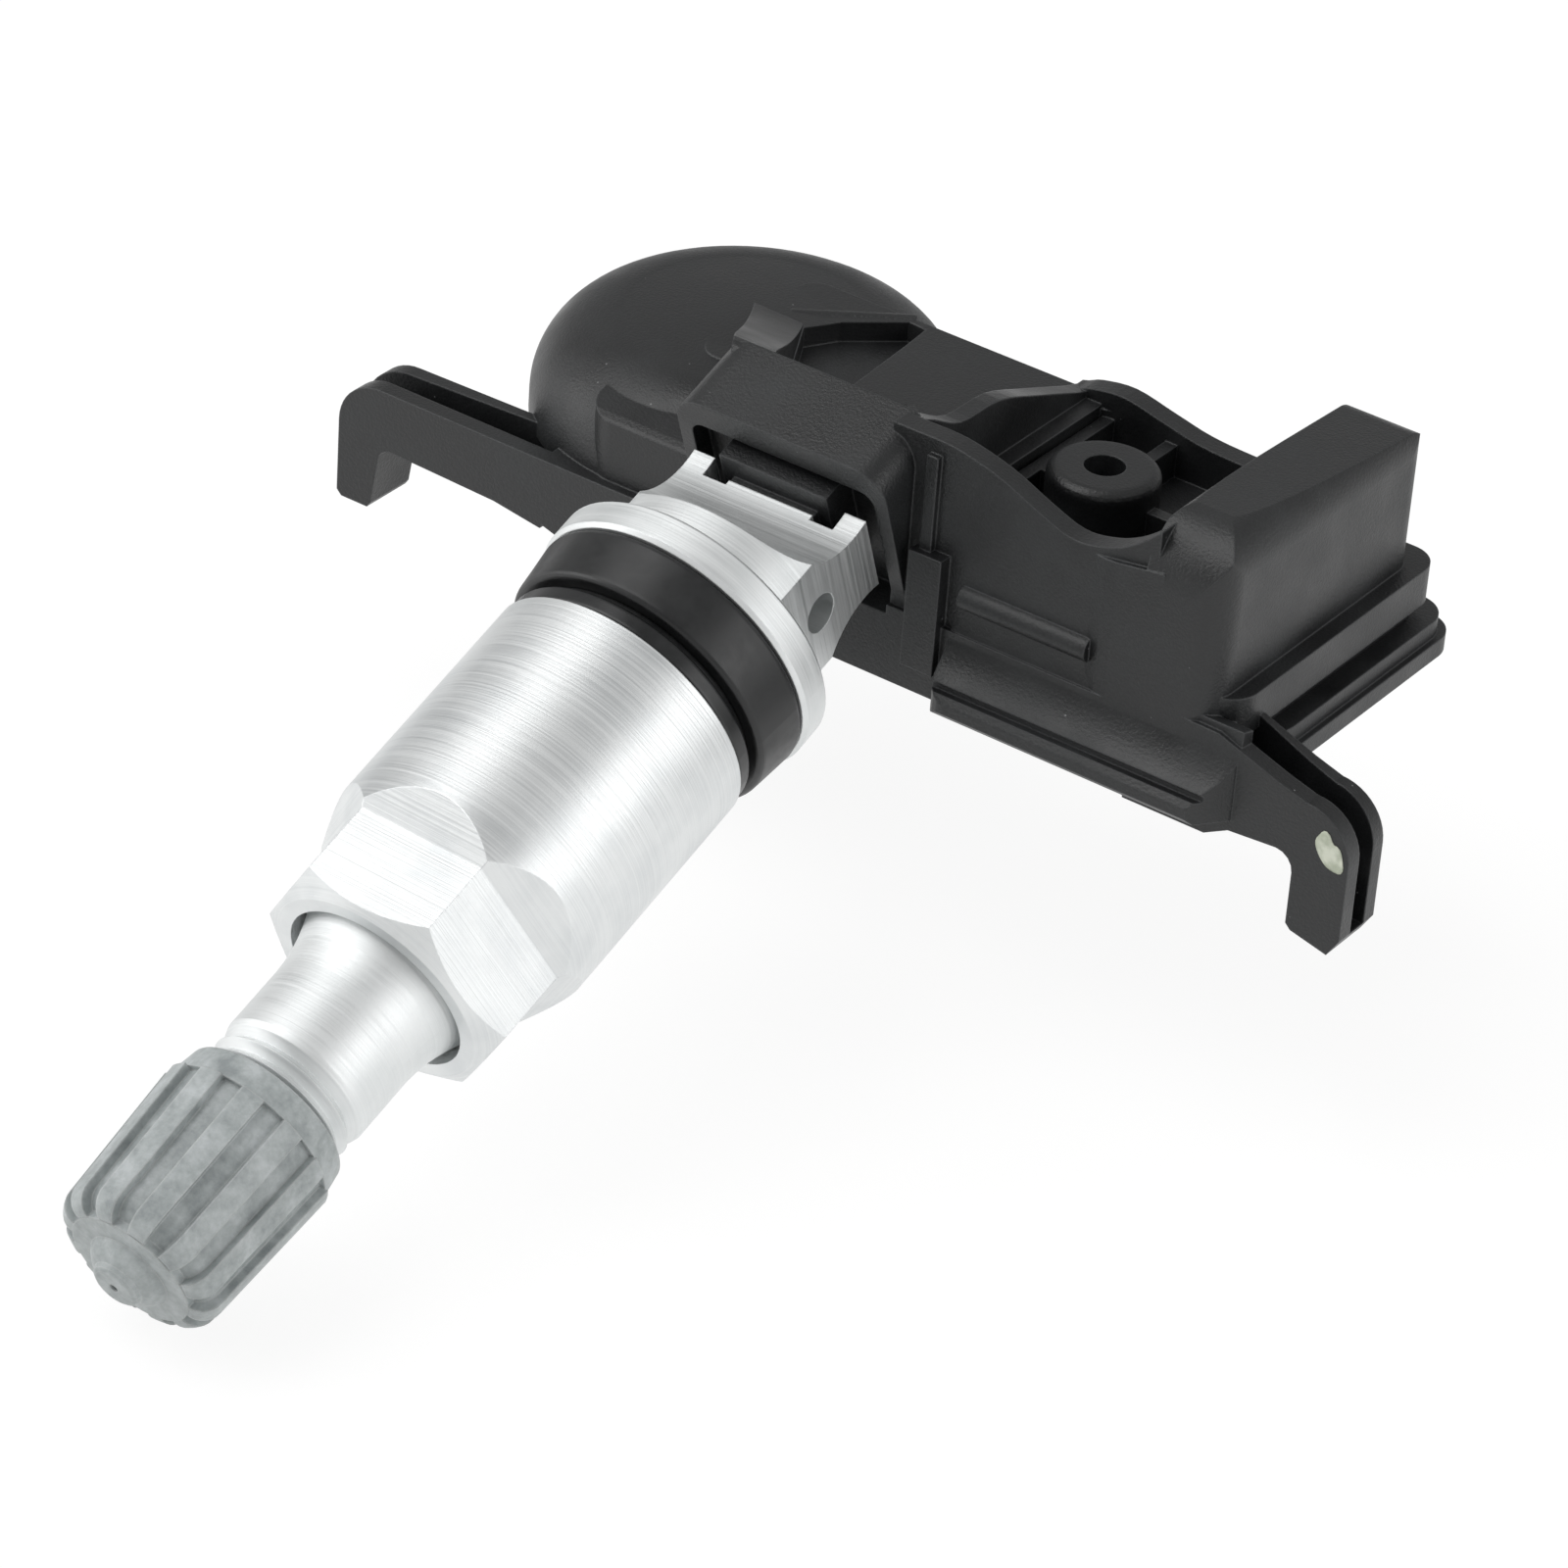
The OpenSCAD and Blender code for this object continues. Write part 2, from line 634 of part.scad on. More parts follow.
module circuit_box() {
    // Floor of the pocket and the walls round it
    slab(box_x0, end_x0 + 0.5, wall_y, rear_y, base_z, pocket_floor, 0.8);
    side_form(wall_y, wall_y + box_wall, rim_front());
    end_form(box_x0, box_x0 + rim_t, rim_side());
    side_form(rear_y - box_wall, rear_y, rim_rear());
    // Round inner corners of the pocket
    for (c = [[box_x0 + rim_t, rear_y - box_wall, 270], [end_x0, rear_y - box_wall, 180]])
        translate([c[0], c[1], pocket_floor - 0.5]) rotate([0, 0, c[2]]) corner_fill(1.6,
            deck_z - pocket_floor + 0.3);
    translate([box_x0 + rim_t, wall_y + box_wall, pocket_floor - 0.5])
        corner_fill(1.6, box_top - pocket_floor - 1.2);
    tall_end();
    // Step along the end face
    slab(end_x0, box_x1 + step_out, wall_y + 0.6, end_rear_y + step_out, step_z, step_z + step_h, 1.6);
    // Low plinth that joins the step to the cover
    slab(end_x0, box_x1 + 0.4, wall_y + 0.3, end_rear_y + 0.4, base_z, step_z + 0.2, 1.6);
}

// Fillet that fills a square inner corner lying along +X and +Y
module corner_fill(r, h) {
    difference() {
        cube([r, r, h]);
        translate([r, r, -1]) cylinder(h = h + 2, r = r);
    }
}

// Cross-section of the flared foot of the front panel and its lip
function lip_section() = concat(
    [[wall_y + 1, flare_z]],
    arc(wall_y - 3.7, flare_z + 0.2, 3.7, 0, -58, 14),
    [[lip_y + 0.75, lip_z], [lip_y + 0.7, lip_z - 0.25], [lip_y + 0.3, lip_z - 0.25], [lip_y, lip_z - 0.55],
     [lip_y, lip_z - lip_h + 0.4], [lip_y + 0.4, lip_z - lip_h], [wall_y + 1, lip_z - lip_h]]);

module front_lip() {
    intersection() {
        end_form(lip_x - 0.2, box_x1 + 2, lip_section());
        translate([0, 0, -far / 2]) linear_extrude(far) polygon(concat(
            arc(lip_x + 1.2, lip_y + 1.2, 1.2, 180, 270, 5),
            [[box_x1 + 0.3, lip_y], [box_x1 + 1.7, arm_y - 0.1], [box_x1 + 1.8, arm_y + 1], [lip_x,
                arm_y + 1]]));
    }
}

module pocket_details() {
    translate([boss_x, boss_y, pocket_floor - 0.5]) rotate_extrude()
        polygon(concat([[0, 0], [boss_d / 2 + 0.4, 0], [boss_d / 2 + 0.3, 0.6], [boss_d / 2, 1.1]],
                       arc(boss_d / 2 - boss_edge, boss_z - pocket_floor + 0.5 - boss_edge, boss_edge,
                           0, 90, 5),
                       [[0, boss_z - pocket_floor + 0.5]]));
    // Webs from the boss to the walls of the pocket
    translate([boss_x - 4.1, wall_y + box_wall, pocket_floor - 0.5])
        cube([web_t, rear_y - wall_y - 2 * box_wall + 0.4, web_z - pocket_floor + 0.5]);
    translate([boss_x - 4.1, boss_y - web_t / 2, pocket_floor - 0.5])
        cube([end_x0 - boss_x + 4, web_t, web_z - pocket_floor + 0.5]);
    translate([boss_x - web_t / 2, boss_y, pocket_floor - 0.5])
        cube([web_t, rear_y - boss_y - 1, web_z - pocket_floor + 0.5]);
}

module dome() {
    flat_r = dome_d / 2 - dome_r;
    shoulder_z = dome_top - dome_crown - dome_r;
    crown_r = (pow(flat_r, 2) + pow(dome_crown, 2)) / (2 * dome_crown);
    translate([dome_x, dome_y, 0]) rotate_extrude($fn = 96) {
        translate([0, base_z]) square([dome_d / 2, shoulder_z - base_z]);
        quarter(flat_r, shoulder_z, dome_r, 0);
        intersection() {
            translate([0, dome_top - crown_r]) circle(r = crown_r, $fn = 256);
            translate([0, base_z]) square([flat_r, far]);
        }
    }
}

// Front view of the hood above the valve axis
module hood_outline(w, h, r) {
    polygon([[-w / 2, -4], [w / 2, -4], [w / 2, h - r], [w / 2 - r, h], [-w / 2 + r, h], [-w / 2, h - r]]);
    quarter(w / 2 - r, h - r, r, 0);
    quarter(-w / 2 + r, h - r, r, 90);
}

module saddle() {
    intersection() {
        on_valve() translate([0, 0, -hood_s - 9]) linear_extrude(9) hood_outline(hood_w, hood_h, hood_r);
        translate([-far / 2, 0, 0]) cube([far, saddle_rear_y, far]);
    }
}

module centre_block() {
    // Deck between the dome and the circuit box
    slab(dome_x, box_x0 + 2, dome_y - 4.8, rear_y - 0.4, base_z, deck_z, 1.2);
    slab(-hood_w / 2 + 0.3, box_x0 + 2, wall_y + 0.6, dome_y, base_z, deck_z, 0.3);
    // Sloping shoulder from the dome to the front wall beside the hood
    intersection() {
        end_form(dome_x - 2.5, -hood_w / 2 + 0.5, [[wall_y, base_z], [wall_y, front_z - 0.5],
            [wall_y + 0.45, front_z - 0.15], [wall_y + 0.8, front_z], [dome_y - 4.6, dome_top - 0.35],
            [dome_y - 4.6, base_z]]);
        slab(dome_x - 2.3, 0, wall_y + 0.3, dome_y, base_z, far, 1.9);
    }
    // Front beam that ties the two arms together
    side_form(arm_y, arm_root_y, [
        [dome_x - 4.2, left_under_z - 0.3], [dome_x - 2.8, beam_z], [end_x0 + 1, beam_z], [end_x0 + 1,
            base_z + 1],
        [hood_w / 2, base_z + 1], [dome_x, left_top_z], [dome_x - 4.2, left_top_z]]);
    // Centre of the front wall under the hood
    slab(-hood_w / 2 - 0.4, box_x0 + 2.3, wall_y + 0.1, arm_root_y + 2, base_z, deck_z, 0.4);
    // Ridge that falls from the saddle to the crown of the dome
    intersection() {
        end_form(dome_x - 2, 0, concat([[saddle_rear_y - 0.9, deck_z - 2]], spline([
            [saddle_rear_y - 2, saddle_top - 1], [saddle_rear_y - 0.9, saddle_top - 0.5],
            [saddle_rear_y + 0.3, saddle_top - 0.2], [saddle_rear_y + 2.9, saddle_top - 1.5],
            [saddle_rear_y + 5.6, saddle_top - 2.9], [saddle_rear_y + 8.4, saddle_top - 4.15],
            [dome_y + 0.9, dome_top + 0.02], [dome_y + 3, dome_top - 0.2]], 4), [[dome_y + 1.2,
                deck_z - 2]]));
        linear_extrude(far) polygon([[-hood_w / 2 + 0.55 * hood_r, saddle_rear_y - 0.9], [-3.4,
            saddle_rear_y - 0.9],
            [-3.4, saddle_rear_y], [dome_x + 2.7, dome_y + 0.7], [dome_x - 0.5, dome_y + 0.9]]);
    }
    // Bead along the rear edge of the driver's recess
    translate([dome_x + 1.3, dome_y + 1.6, dome_top - 0.55]) rotate([0, 0, 37])
        rotate([0, 90, 0]) cylinder(h = 6.4, r = 0.55, $fn = 24);
}

module front_details() {
    // Thin rib beside the hood
    translate([hood_w / 2 + 0.85, wall_y - 0.35, bead_z + 1.5]) cube([0.65, 1.2, box_top - bead_z - 2.3]);
    // Thick rib under it
    translate([hood_w / 2 + 0.55, wall_y - 0.8, beam_z + 1.6]) cube([1.9, 1.6, 6.5]);
    // Rounded bead along the top of the front panel
    translate([lip_x + 0.4, wall_y + 0.1, bead_z]) rotate([0, 90, 0]) cylinder(h = bead_l, r = bead_r,
        $fn = 32);
    // Strip between the panel and the tall end, flush with the arms
    intersection() {
        side_form(arm_y, wall_y + 0.5, [[lip_x + bead_l + 0.1, lip_z], [end_x0 + 1, lip_z],
            [end_x0 + 1, front_dip_z + 0.3], [end_x0 - 1.6, front_dip_z - 0.1], [lip_x + bead_l + 0.1,
                front_dip_z - 0.3]]);
        translate([0, 0, -far / 2]) linear_extrude(far) polygon([[lip_x + bead_l + 0.1, wall_y + 1],
            [lip_x + bead_l + 0.1, wall_y + 0.02], [lip_x + bead_l + 0.9, wall_y - 0.2],
            [lip_x + bead_l + 1.5, arm_y + 0.02], [lip_x + bead_l + 2, arm_y - 0.1], [end_x0 + 2,
                arm_y - 0.1],
            [end_x0 + 2, wall_y + 1]]);
    }
}

module housing() {
    color(plastic) difference() {
        union() {
            difference() {
                union() {
                    circuit_box();
                    dome();
                    centre_block();
                    saddle();
                    left_arm();
                    right_arm();
                    front_lip();
                    front_details();
                    pocket_details();
                }
                // Recess that takes the end of the bracket
                on_valve() translate([0, 0, -hood_s - mouth_l]) linear_extrude(far)
                    hood_outline(mouth_w, mouth_h, 0.8);
                // Driver's recess behind the saddle
                slab(-3.4, 2.9, saddle_rear_y, saddle_rear_y + 4.6, recess_z, far, 0.6);
                translate([0, 0, cell_top + 0.75]) linear_extrude(far) polygon([[-3.4, saddle_rear_y],
                    [2.9, saddle_rear_y], [2.9, saddle_rear_y + 5], [-3.6, dome_y - 3], [-4, dome_y + 2.6],
                    [-4.2, dome_y + 4.7], [-5.3, dome_y + 4.8], [-7.9, dome_y + 2.4], [dome_x + 2.8,
                        dome_y + 0.65]]);
            }
            // Pad that fills the bracket's notch
            on_valve() translate([-pad_w / 2, -tongue_t / 2, -hood_s - mouth_l - tiny])
                cube([pad_w, tongue_t / 2 + pad_h, hood_s + mouth_l - bracket_s + 0.4]);
            on_valve() translate([-land_w / 2, -tongue_t / 2 + 0.1, -bracket_s])
                cube([land_w, tongue_t - 0.2, bracket_s - notch_s - land_h - 0.02]);
        }
        // Hole for the fixing screw and the seat of its head
        on_valve() tube(-far, 0, screw_d + 0.1);
        on_valve() tube(-far, -head_s_abs(), screw_head_d + 0.3);
        // Space for the cell
        translate([dome_x, dome_y, -far]) cylinder(h = far + cell_top + tab_t + 0.15, d = cell_d + 0.2,
            $fn = 96);
        // Space for the board under the pocket
        slab(box_x0 + 1, end_x0 - 0.2, wall_y + box_wall + 0.6, rear_y - box_wall, -far,
            pocket_floor - floor_t, 1);
        // Space for the coil in the tall end
        slab(end_x0 - 1, box_x1 - box_wall, wall_y + 2.2, rear_y - box_wall - 0.5, -far, box_top - 3.4, 0.8);
        // Channel for the cell's tabs
        translate([dome_x, dome_y - tab_w, -far])
            cube([board_x0 + 0.3 - dome_x, 2 * tab_w, far + board_top + tab_t + 0.6]);
        translate([dome_x, dome_y - tab_w, -far])
            cube([tab_x + 0.3 - dome_x, 2 * tab_w, far + cell_top + tab_t + 0.15]);
        // Port from the boss to the chip
        translate([boss_x, boss_y, 0]) cylinder(h = far, d = port_d);
    }
}

function head_s_abs() = saddle_rear_y / cos(valve_tilt) - 0.5;

module cover_outline(set) {
    union() {
        round_rect(end_x0 - 4, box_x1 + cover_end - set, arm_root_y + 0.1, end_rear_y + cover_end - set, 1.8);
        round_rect(dome_x, end_x0, arm_root_y + 0.1, rear_y + cover_mid - set, 0.8);
        translate([dome_x, dome_y]) intersection() {
            circle(d = dome_d - 2 * set, $fn = 96);
            translate([-far, arm_root_y + 0.1 - dome_y]) square([2 * far, far]);
        }
    }
}

module base_cover() {
    color(plastic) union() {
        translate([0, 0, cover_z]) linear_extrude(cover_t / 2) cover_outline(0);
        translate([0, 0, cover_z + cover_t / 2 - tiny]) linear_extrude(cover_t / 2) cover_outline(cover_set);
    }
}

module circuit_board() {
    color(board_green) slab(board_x0, end_x0 - 0.4, wall_y + box_wall + 0.8, rear_y - box_wall - 0.2,
                            board_z, board_top, 0.8);
}

module battery_cell() {
    color(silver) translate([dome_x, dome_y, cell_z]) rotate_extrude($fn = 96)
        polygon([[0, 0], [cell_d / 2 - 1.2, 0], [cell_d / 2 - 1, 0.35], [cell_d / 2 - 0.2, 0.35],
                 [cell_d / 2, 0.55], [cell_d / 2, cell_t - 0.2], [cell_d / 2 - 0.2, cell_t], [0, cell_t]]);
}

module sensor_chip() {
    color("#202124") translate([boss_x - chip_w / 2, boss_y - chip_w / 2, board_top])
        difference() {
            cube([chip_w, chip_w, chip_t]);
            translate([chip_w / 2, chip_w / 2, chip_t / 2]) cylinder(h = chip_t, d = chip_w / 5, $fn = 32);
        }
}

// Strip that lies on the cell at level z0, steps to level z1 and ends on the board
module battery_tab(z0, z1, y0) {
    color(silver) union() {
        translate([dome_x + 3, y0, z0]) cube([tab_x - dome_x - 3, tab_w / 2, tab_t]);
        translate([tab_x - tab_t, y0, min(z0, z1)]) cube([tab_t, tab_w / 2, abs(z0 - z1) + tab_t]);
        translate([tab_x - tab_t, y0, z1]) cube([board_x0 + 1 - tab_x + tab_t, tab_w / 2, tab_t]);
    }
}

module battery_tab_upper() {
    battery_tab(cell_top, board_top, dome_y + 0.4);
}

module battery_tab_lower() {
    battery_tab(cell_z - tab_t, board_z - tab_t, dome_y - tab_w / 2 - 0.4);
}

module port_seal() {
    color("#7a4a3a") translate([boss_x, boss_y, board_top + chip_t]) difference() {
        cylinder(h = pocket_floor - floor_t - board_top - chip_t, d = 2 * port_d);
        translate([0, 0, -1]) cylinder(h = far, d = port_d);
    }
}

module coil_core() {
    color("#3a3a3d") union() {
        translate([end_x0 + 0.2 + winding_t, dome_y - 3 - coil_l / 2, base_z]) cube([coil_t, coil_l, coil_t]);
    }
}

module coil_winding() {
    color("#a5642c") difference() {
        translate([end_x0 + 0.2, dome_y - 3 - coil_l / 2 + 1, base_z])
            cube([coil_t + 2 * winding_t, coil_l - 2, coil_t + winding_t]);
        translate([end_x0 + 0.2 + winding_t, dome_y - 3 - coil_l / 2, base_z - 1]) cube([coil_t,
            coil_l, coil_t + 1]);
    }
}

module rf_antenna() {
    color(brass) union() {
        translate([aerial_x0, aerial_y, board_top]) cube([aerial_w, aerial_w, aerial_h]);
        translate([aerial_x0, aerial_y, board_top + aerial_h - aerial_w])
            cube([aerial_x1 - aerial_x0, aerial_w, aerial_w]);
        translate([aerial_x1 - aerial_w, aerial_y, board_top]) cube([aerial_w, aerial_w, aerial_h]);
    }
}

module crystal() {
    color(silver) translate([end_x0 - box_wall - crystal_w, boss_y - chip_w - capacitor_l, board_top])
        cube([crystal_w, crystal_l, crystal_t]);
}

module chip_capacitors() {
    color("#8a6a4a") for (i = [0 : 3])
        translate([board_x0 + capacitor_w + capacitor_step * i, wall_y + box_wall + capacitor_l, board_top])
            cube([capacitor_w, capacitor_l, capacitor_t]);
}

module fixing_screw() {
    color(silver) on_valve() difference() {
        union() {
            tube(-head_s_abs(), -notch_s - land_h + screw_grip, screw_d);
            translate([0, 0, -head_s_abs() - screw_head_h]) rotate_extrude()
                polygon(concat([[0, screw_head_h], [0, 0]], [[screw_head_d / 2 - 0.5, 0],
                    [screw_head_d / 2, 0.5],
                               [screw_head_d / 2, screw_head_h]]));
        }
        // Six-lobed drive
        for (a = [0 : 60 : 300])
            rotate([0, 0, a]) translate([0.75, 0, -head_s_abs() - screw_head_h - 1]) cylinder(h = 2,
                d = 0.7, $fn = 24);
        tube(-head_s_abs() - screw_head_h - 1, -head_s_abs() - screw_head_h + 1, 1.6);
    }
}

// Half profile of the turned valve, from the bracket to the mouth
function sweep(n) = [for (i = [0 : n]) let (t = i / n, c = stem_sweep_l * t)
    [stem_neck_d / 2 + (stem_d - stem_neck_d) / 2 * pow(t, 2), stem_sweep_s - c]];

function thread_rings() = [for (i = [0 : floor((mouth_s - 0.8 - thread_s) / thread_pitch)])
    for (p = [[0, 0], [thread_depth, 0.5]])
        [thread_d / 2 - p[0], thread_s + (i + 0.25 + p[1]) * thread_pitch]];

function valve_profile() = concat(
    [[0, -bracket_s], [bracket_d / 2, -bracket_s], [bracket_d / 2, flange_s],
     [flange_d / 2 - flange_bevel, flange_s], [flange_d / 2, flange_s + flange_bevel],
     [flange_d / 2, -band_l - flange_bevel], [flange_d / 2 - flange_bevel, -band_l], [stem_d / 2, -band_l]],
    [for (i = [8 : -1 : 0]) sweep(8)[i]],
    [[stem_neck_d / 2, thread_s - 0.1]],
    thread_rings(),
    [[thread_d / 2 - thread_depth, mouth_s - cap_lead - 0.2], [cap_seal_d / 2 - 0.2, mouth_s], [0, mouth_s]]);

module valve_stem() {
    color(silver) on_valve() difference() {
        rotate_extrude($fn = 96) polygon(valve_profile());
        // Side flats
        for (side = [-1, 1])
            translate([side * (bracket_w / 2 + 5), 0, (flange_s - bracket_s) / 2 - 1])
                cube([10, 2 * bracket_d, bracket_s + flange_s + 2], center = true);
        // Hollows above and below the tongue
        for (side = [-1, 1])
            translate([-far / 2, side * saddle_n, -saddle_s]) rotate([0, 90, 0]) cylinder(h = far,
                r = saddle_r);
        for (side = [-1, 1])
            translate([0, side * (saddle_n + saddle_r / 2), -saddle_s - saddle_r])
                cube([far, saddle_r + 3, 2 * saddle_r], center = true);
        // Notch with its raised land
        difference() {
            translate([-notch_w / 2, -far / 2, -far]) cube([notch_w, far, far - notch_s]);
            translate([-land_w / 2, -far / 2, -notch_s - land_h]) cube([land_w, far, land_h]);
        }
        // Cross hole that lets the air out
        translate([-far / 2, 0, -cross_s]) rotate([0, 90, 0]) cylinder(h = far, d = cross_d);
        // Air passage, core chamber and its seat
        tube(-cross_s, far, passage_d);
        tube(chamber_s, far, chamber_d);
        translate([0, 0, chamber_s - 1.2]) cylinder(h = 1.2 + tiny, d1 = passage_d, d2 = chamber_d);
        // Threaded hole for the fixing screw
        tube(-far, -notch_s + screw_grip + 0.2, screw_d + 0.05);
    }
}

module rubber_seal() {
    color(black_rubber) on_valve() rotate_extrude($fn = 96) polygon(concat(
        [[stem_d / 2 + seat_gap, -band_l + 0.01]],
        arc(band_rear_d / 2 - band_edge, -band_l + 0.01 + band_edge, band_edge, 270, 360, 4),
        arc(band_front_d / 2 - band_edge, -band_edge, band_edge, 0, 90, 4),
        [[neck_d / 2, 0], [neck_d / 2, neck_l - 0.4], [neck_d / 2 - 0.4, neck_l],
         [stem_d / 2 + seat_gap, neck_l]]));
}

module thrust_washer() {
    color(black_rubber) on_valve() rotate_extrude($fn = 96) polygon(concat(
        [[lip_bore_d / 2, 0.02], [lip_step_d / 2, 0.02], [lip_step_d / 2, lip_step_l]],
        arc(lip_d / 2 - lip_edge, lip_step_l + lip_edge, lip_edge, 270, 360, 4),
        arc(lip_d / 2 - lip_edge, lip_l - lip_edge, lip_edge, 0, 90, 4),
        [[lip_bore_d / 2, lip_l]]));
}

module sleeve_nut() {
    color(silver) on_valve() difference() {
        intersection() {
            tube(nut_s, nut_front_s, nut_d);
            // Bevel round the front face
            rotate_extrude($fn = 96) polygon([[0, nut_s - 1], [nut_d, nut_s - 1],
                [nut_d, nut_front_s - nut_bevel_l * (2 * nut_d - nut_face_d) / (nut_corner_d - nut_face_d)],
                [nut_face_d / 2, nut_front_s], [0, nut_front_s]]);
        }
        // Six flats with their sloping ends
        for (i = [0 : 5])
            rotate([0, 0, nut_turn + 90 + 60 * i]) translate([0, nut_d / 2, 0]) rotate([90, 0, 0])
                flat_cutter();
        // Front bore, threaded bore and recess for the seal's neck
        tube(nut_front_s - nut_mouth_l, nut_front_s + 1, nut_bore_d);
        tube(nut_s - 1, nut_front_s, stem_d + 2 * nut_gap);
        tube(nut_s - 1, nut_s + nut_recess_l, nut_recess_d);
    }
}

// Tool that mills one flat: radius along x and the valve axis along y before it is turned
module flat_cutter() {
    linear_extrude(nut_d) polygon([[-nut_af / 2, nut_front_s + 1], [-nut_af / 2, nut_front_s - nut_hex_l],
        [-nut_d / 2, nut_front_s - nut_hex_l - nut_runout_l], [-nut_d,
            nut_front_s - nut_hex_l - nut_runout_l],
        [-nut_d, nut_front_s + 1]]);
}

// Outline of the cap's ribs at radius r
module rib_ring(r) {
    for (i = [0 : rib_n - 1])
        rotate([0, 0, 360 * (i + 0.3) / rib_n])
            polygon([[0, 0], [r * 1.2, -r * 1.2 * tan(90 * rib_share * 2 / rib_n)],
                     [r * 1.2, r * 1.2 * tan(90 * rib_share * 2 / rib_n)]]);
}

// Half profile of the cap's outside, drawn in by the given depth
function cap_profile(depth) = concat(
    [[0, rib_foot_s], [rib_rear_d / 2 - depth, rib_foot_s]],
    arc(rib_front_d / 2 - depth - cap_edge, cap_front_s - 0.7 * depth - cap_edge, cap_edge, 0, 80, 6),
    [[0, cap_front_s - 0.7 * depth + 0.1]]);

module valve_cap() {
    color(cap_grey) on_valve() difference() {
        union() {
            translate([0, 0, cap_s]) cylinder(h = collar_l, d1 = collar_rear_d, d2 = collar_front_d);
            rotate_extrude() polygon(cap_profile(rib_depth));
            intersection() {
                rotate_extrude() polygon(cap_profile(0));
                translate([0, 0, cap_s]) linear_extrude(cap_l + 1) rib_ring(rib_rear_d / 2);
            }
            rotate_extrude() translate([0, cap_front_s]) {
                // Face in which the grooves end
                polygon([[0, -1], [rib_front_d / 2 - cap_edge, -1], [rib_front_d / 2 - cap_edge, 0.02],
                    [0, 0.15]]);
                polygon([[0, -0.5], [nipple_foot_d / 2, -0.5], [nipple_foot_d / 2, 0.08],
                    [nipple_foot_d / 2 - 0.15, 0.3 * nipple_h], [nipple_foot_d / 2 - 0.5, 0.58 * nipple_h],
                    [nipple_d / 2 + 0.08, 0.72 * nipple_h], [nipple_d / 2, 0.9 * nipple_h],
                    [nipple_d / 2 - 0.2, nipple_h], [0, nipple_h]]);
            }
        }
        tube(cap_s - 1, mouth_s - cap_lead, thread_d + 2 * cap_gap);
        // Narrow end that holds the sealing disc
        translate([0, 0, mouth_s - cap_lead - tiny])
            cylinder(h = cap_lead, d1 = thread_d + 2 * cap_gap, d2 = cap_seal_d + 2 * seat_gap);
        tube(mouth_s - 2 * tiny, cap_inner_s, cap_seal_d + 2 * seat_gap);
        tube(cap_front_s, far + cap_s, pit_d);
    }
}

module cap_seal() {
    color(black_rubber) on_valve() difference() {
        tube(mouth_s + 0.02, mouth_s + cap_seal_t, cap_seal_d);
        tube(mouth_s - 1, mouth_s + cap_seal_t + 1, cap_seal_bore_d);
    }
}

module core_barrel() {
    color(brass) on_valve() difference() {
        tube(core_s - core_l, core_s, core_d);
        tube(core_s - core_l + 0.8, core_s - 0.8, core_bore_d);
        tube(core_s - core_l - 1, core_s + 1, pin_d + 0.2);
        tube(core_s - pin_travel, core_s + 1, pin_head_d + 0.2);
        // Slot for the core key
        translate([-far / 2, -0.5, core_s - 0.45]) cube([far, 1, 2]);
    }
}

module core_pin() {
    color(brass) on_valve() union() {
        tube(core_s - core_l - 0.75, mouth_s - 0.05, pin_d);
        tube(mouth_s - 0.45, mouth_s - 0.05, pin_head_d);
        tube(core_s - core_l - 1.35, core_s - core_l - 0.7, plunger_d);
        tube(core_s - 2.3, core_s - 1.9, pin_collar_d);
    }
}

function ring_at(a, wire, mean, pitch, sides) = [for (k = [0 : sides - 1])
    let (r = mean / 2 + wire / 2 * cos(360 * k / sides))
    [r * cos(a), r * sin(a), pitch * a / 360 + wire / 2 * sin(360 * k / sides)]];

module core_spring() {
    sides = 6;
    steps = 14 * spring_turns;
    span = core_l - 3.5;
    pts = [for (i = [0 : steps]) for (p = ring_at(360 * spring_turns * i / steps, spring_wire, spring_d,
                                                   span / spring_turns, sides)) p];
    color(silver) on_valve() translate([0, 0, core_s - core_l + 1]) polyhedron(pts, concat(
        [[for (k = [sides - 1 : -1 : 0]) k]],
        [for (i = [0 : steps - 1]) for (k = [0 : sides - 1])
            [i * sides + k, i * sides + (k + 1) % sides, (i + 1) * sides + (k + 1) % sides, (i + 1)
                * sides + k]],
        [[for (k = [0 : sides - 1]) steps * sides + k]]));
}

module core_seal() {
    color(black_rubber) on_valve() difference() {
        tube(core_s - core_l - 0.65, core_s - core_l - 0.02, plunger_d - 0.2);
        tube(core_s - core_l - 1, core_s, pin_d + 0.04);
    }
}

housing();
base_cover();
circuit_board();
battery_cell();
battery_tab_upper();
battery_tab_lower();
sensor_chip();
port_seal();
coil_core();
coil_winding();
rf_antenna();
crystal();
chip_capacitors();
fixing_screw();
valve_stem();
rubber_seal();
thrust_washer();
sleeve_nut();
valve_cap();
cap_seal();
core_barrel();
core_pin();
core_spring();
core_seal();
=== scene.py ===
import math
import bpy
from mathutils import Matrix, Vector


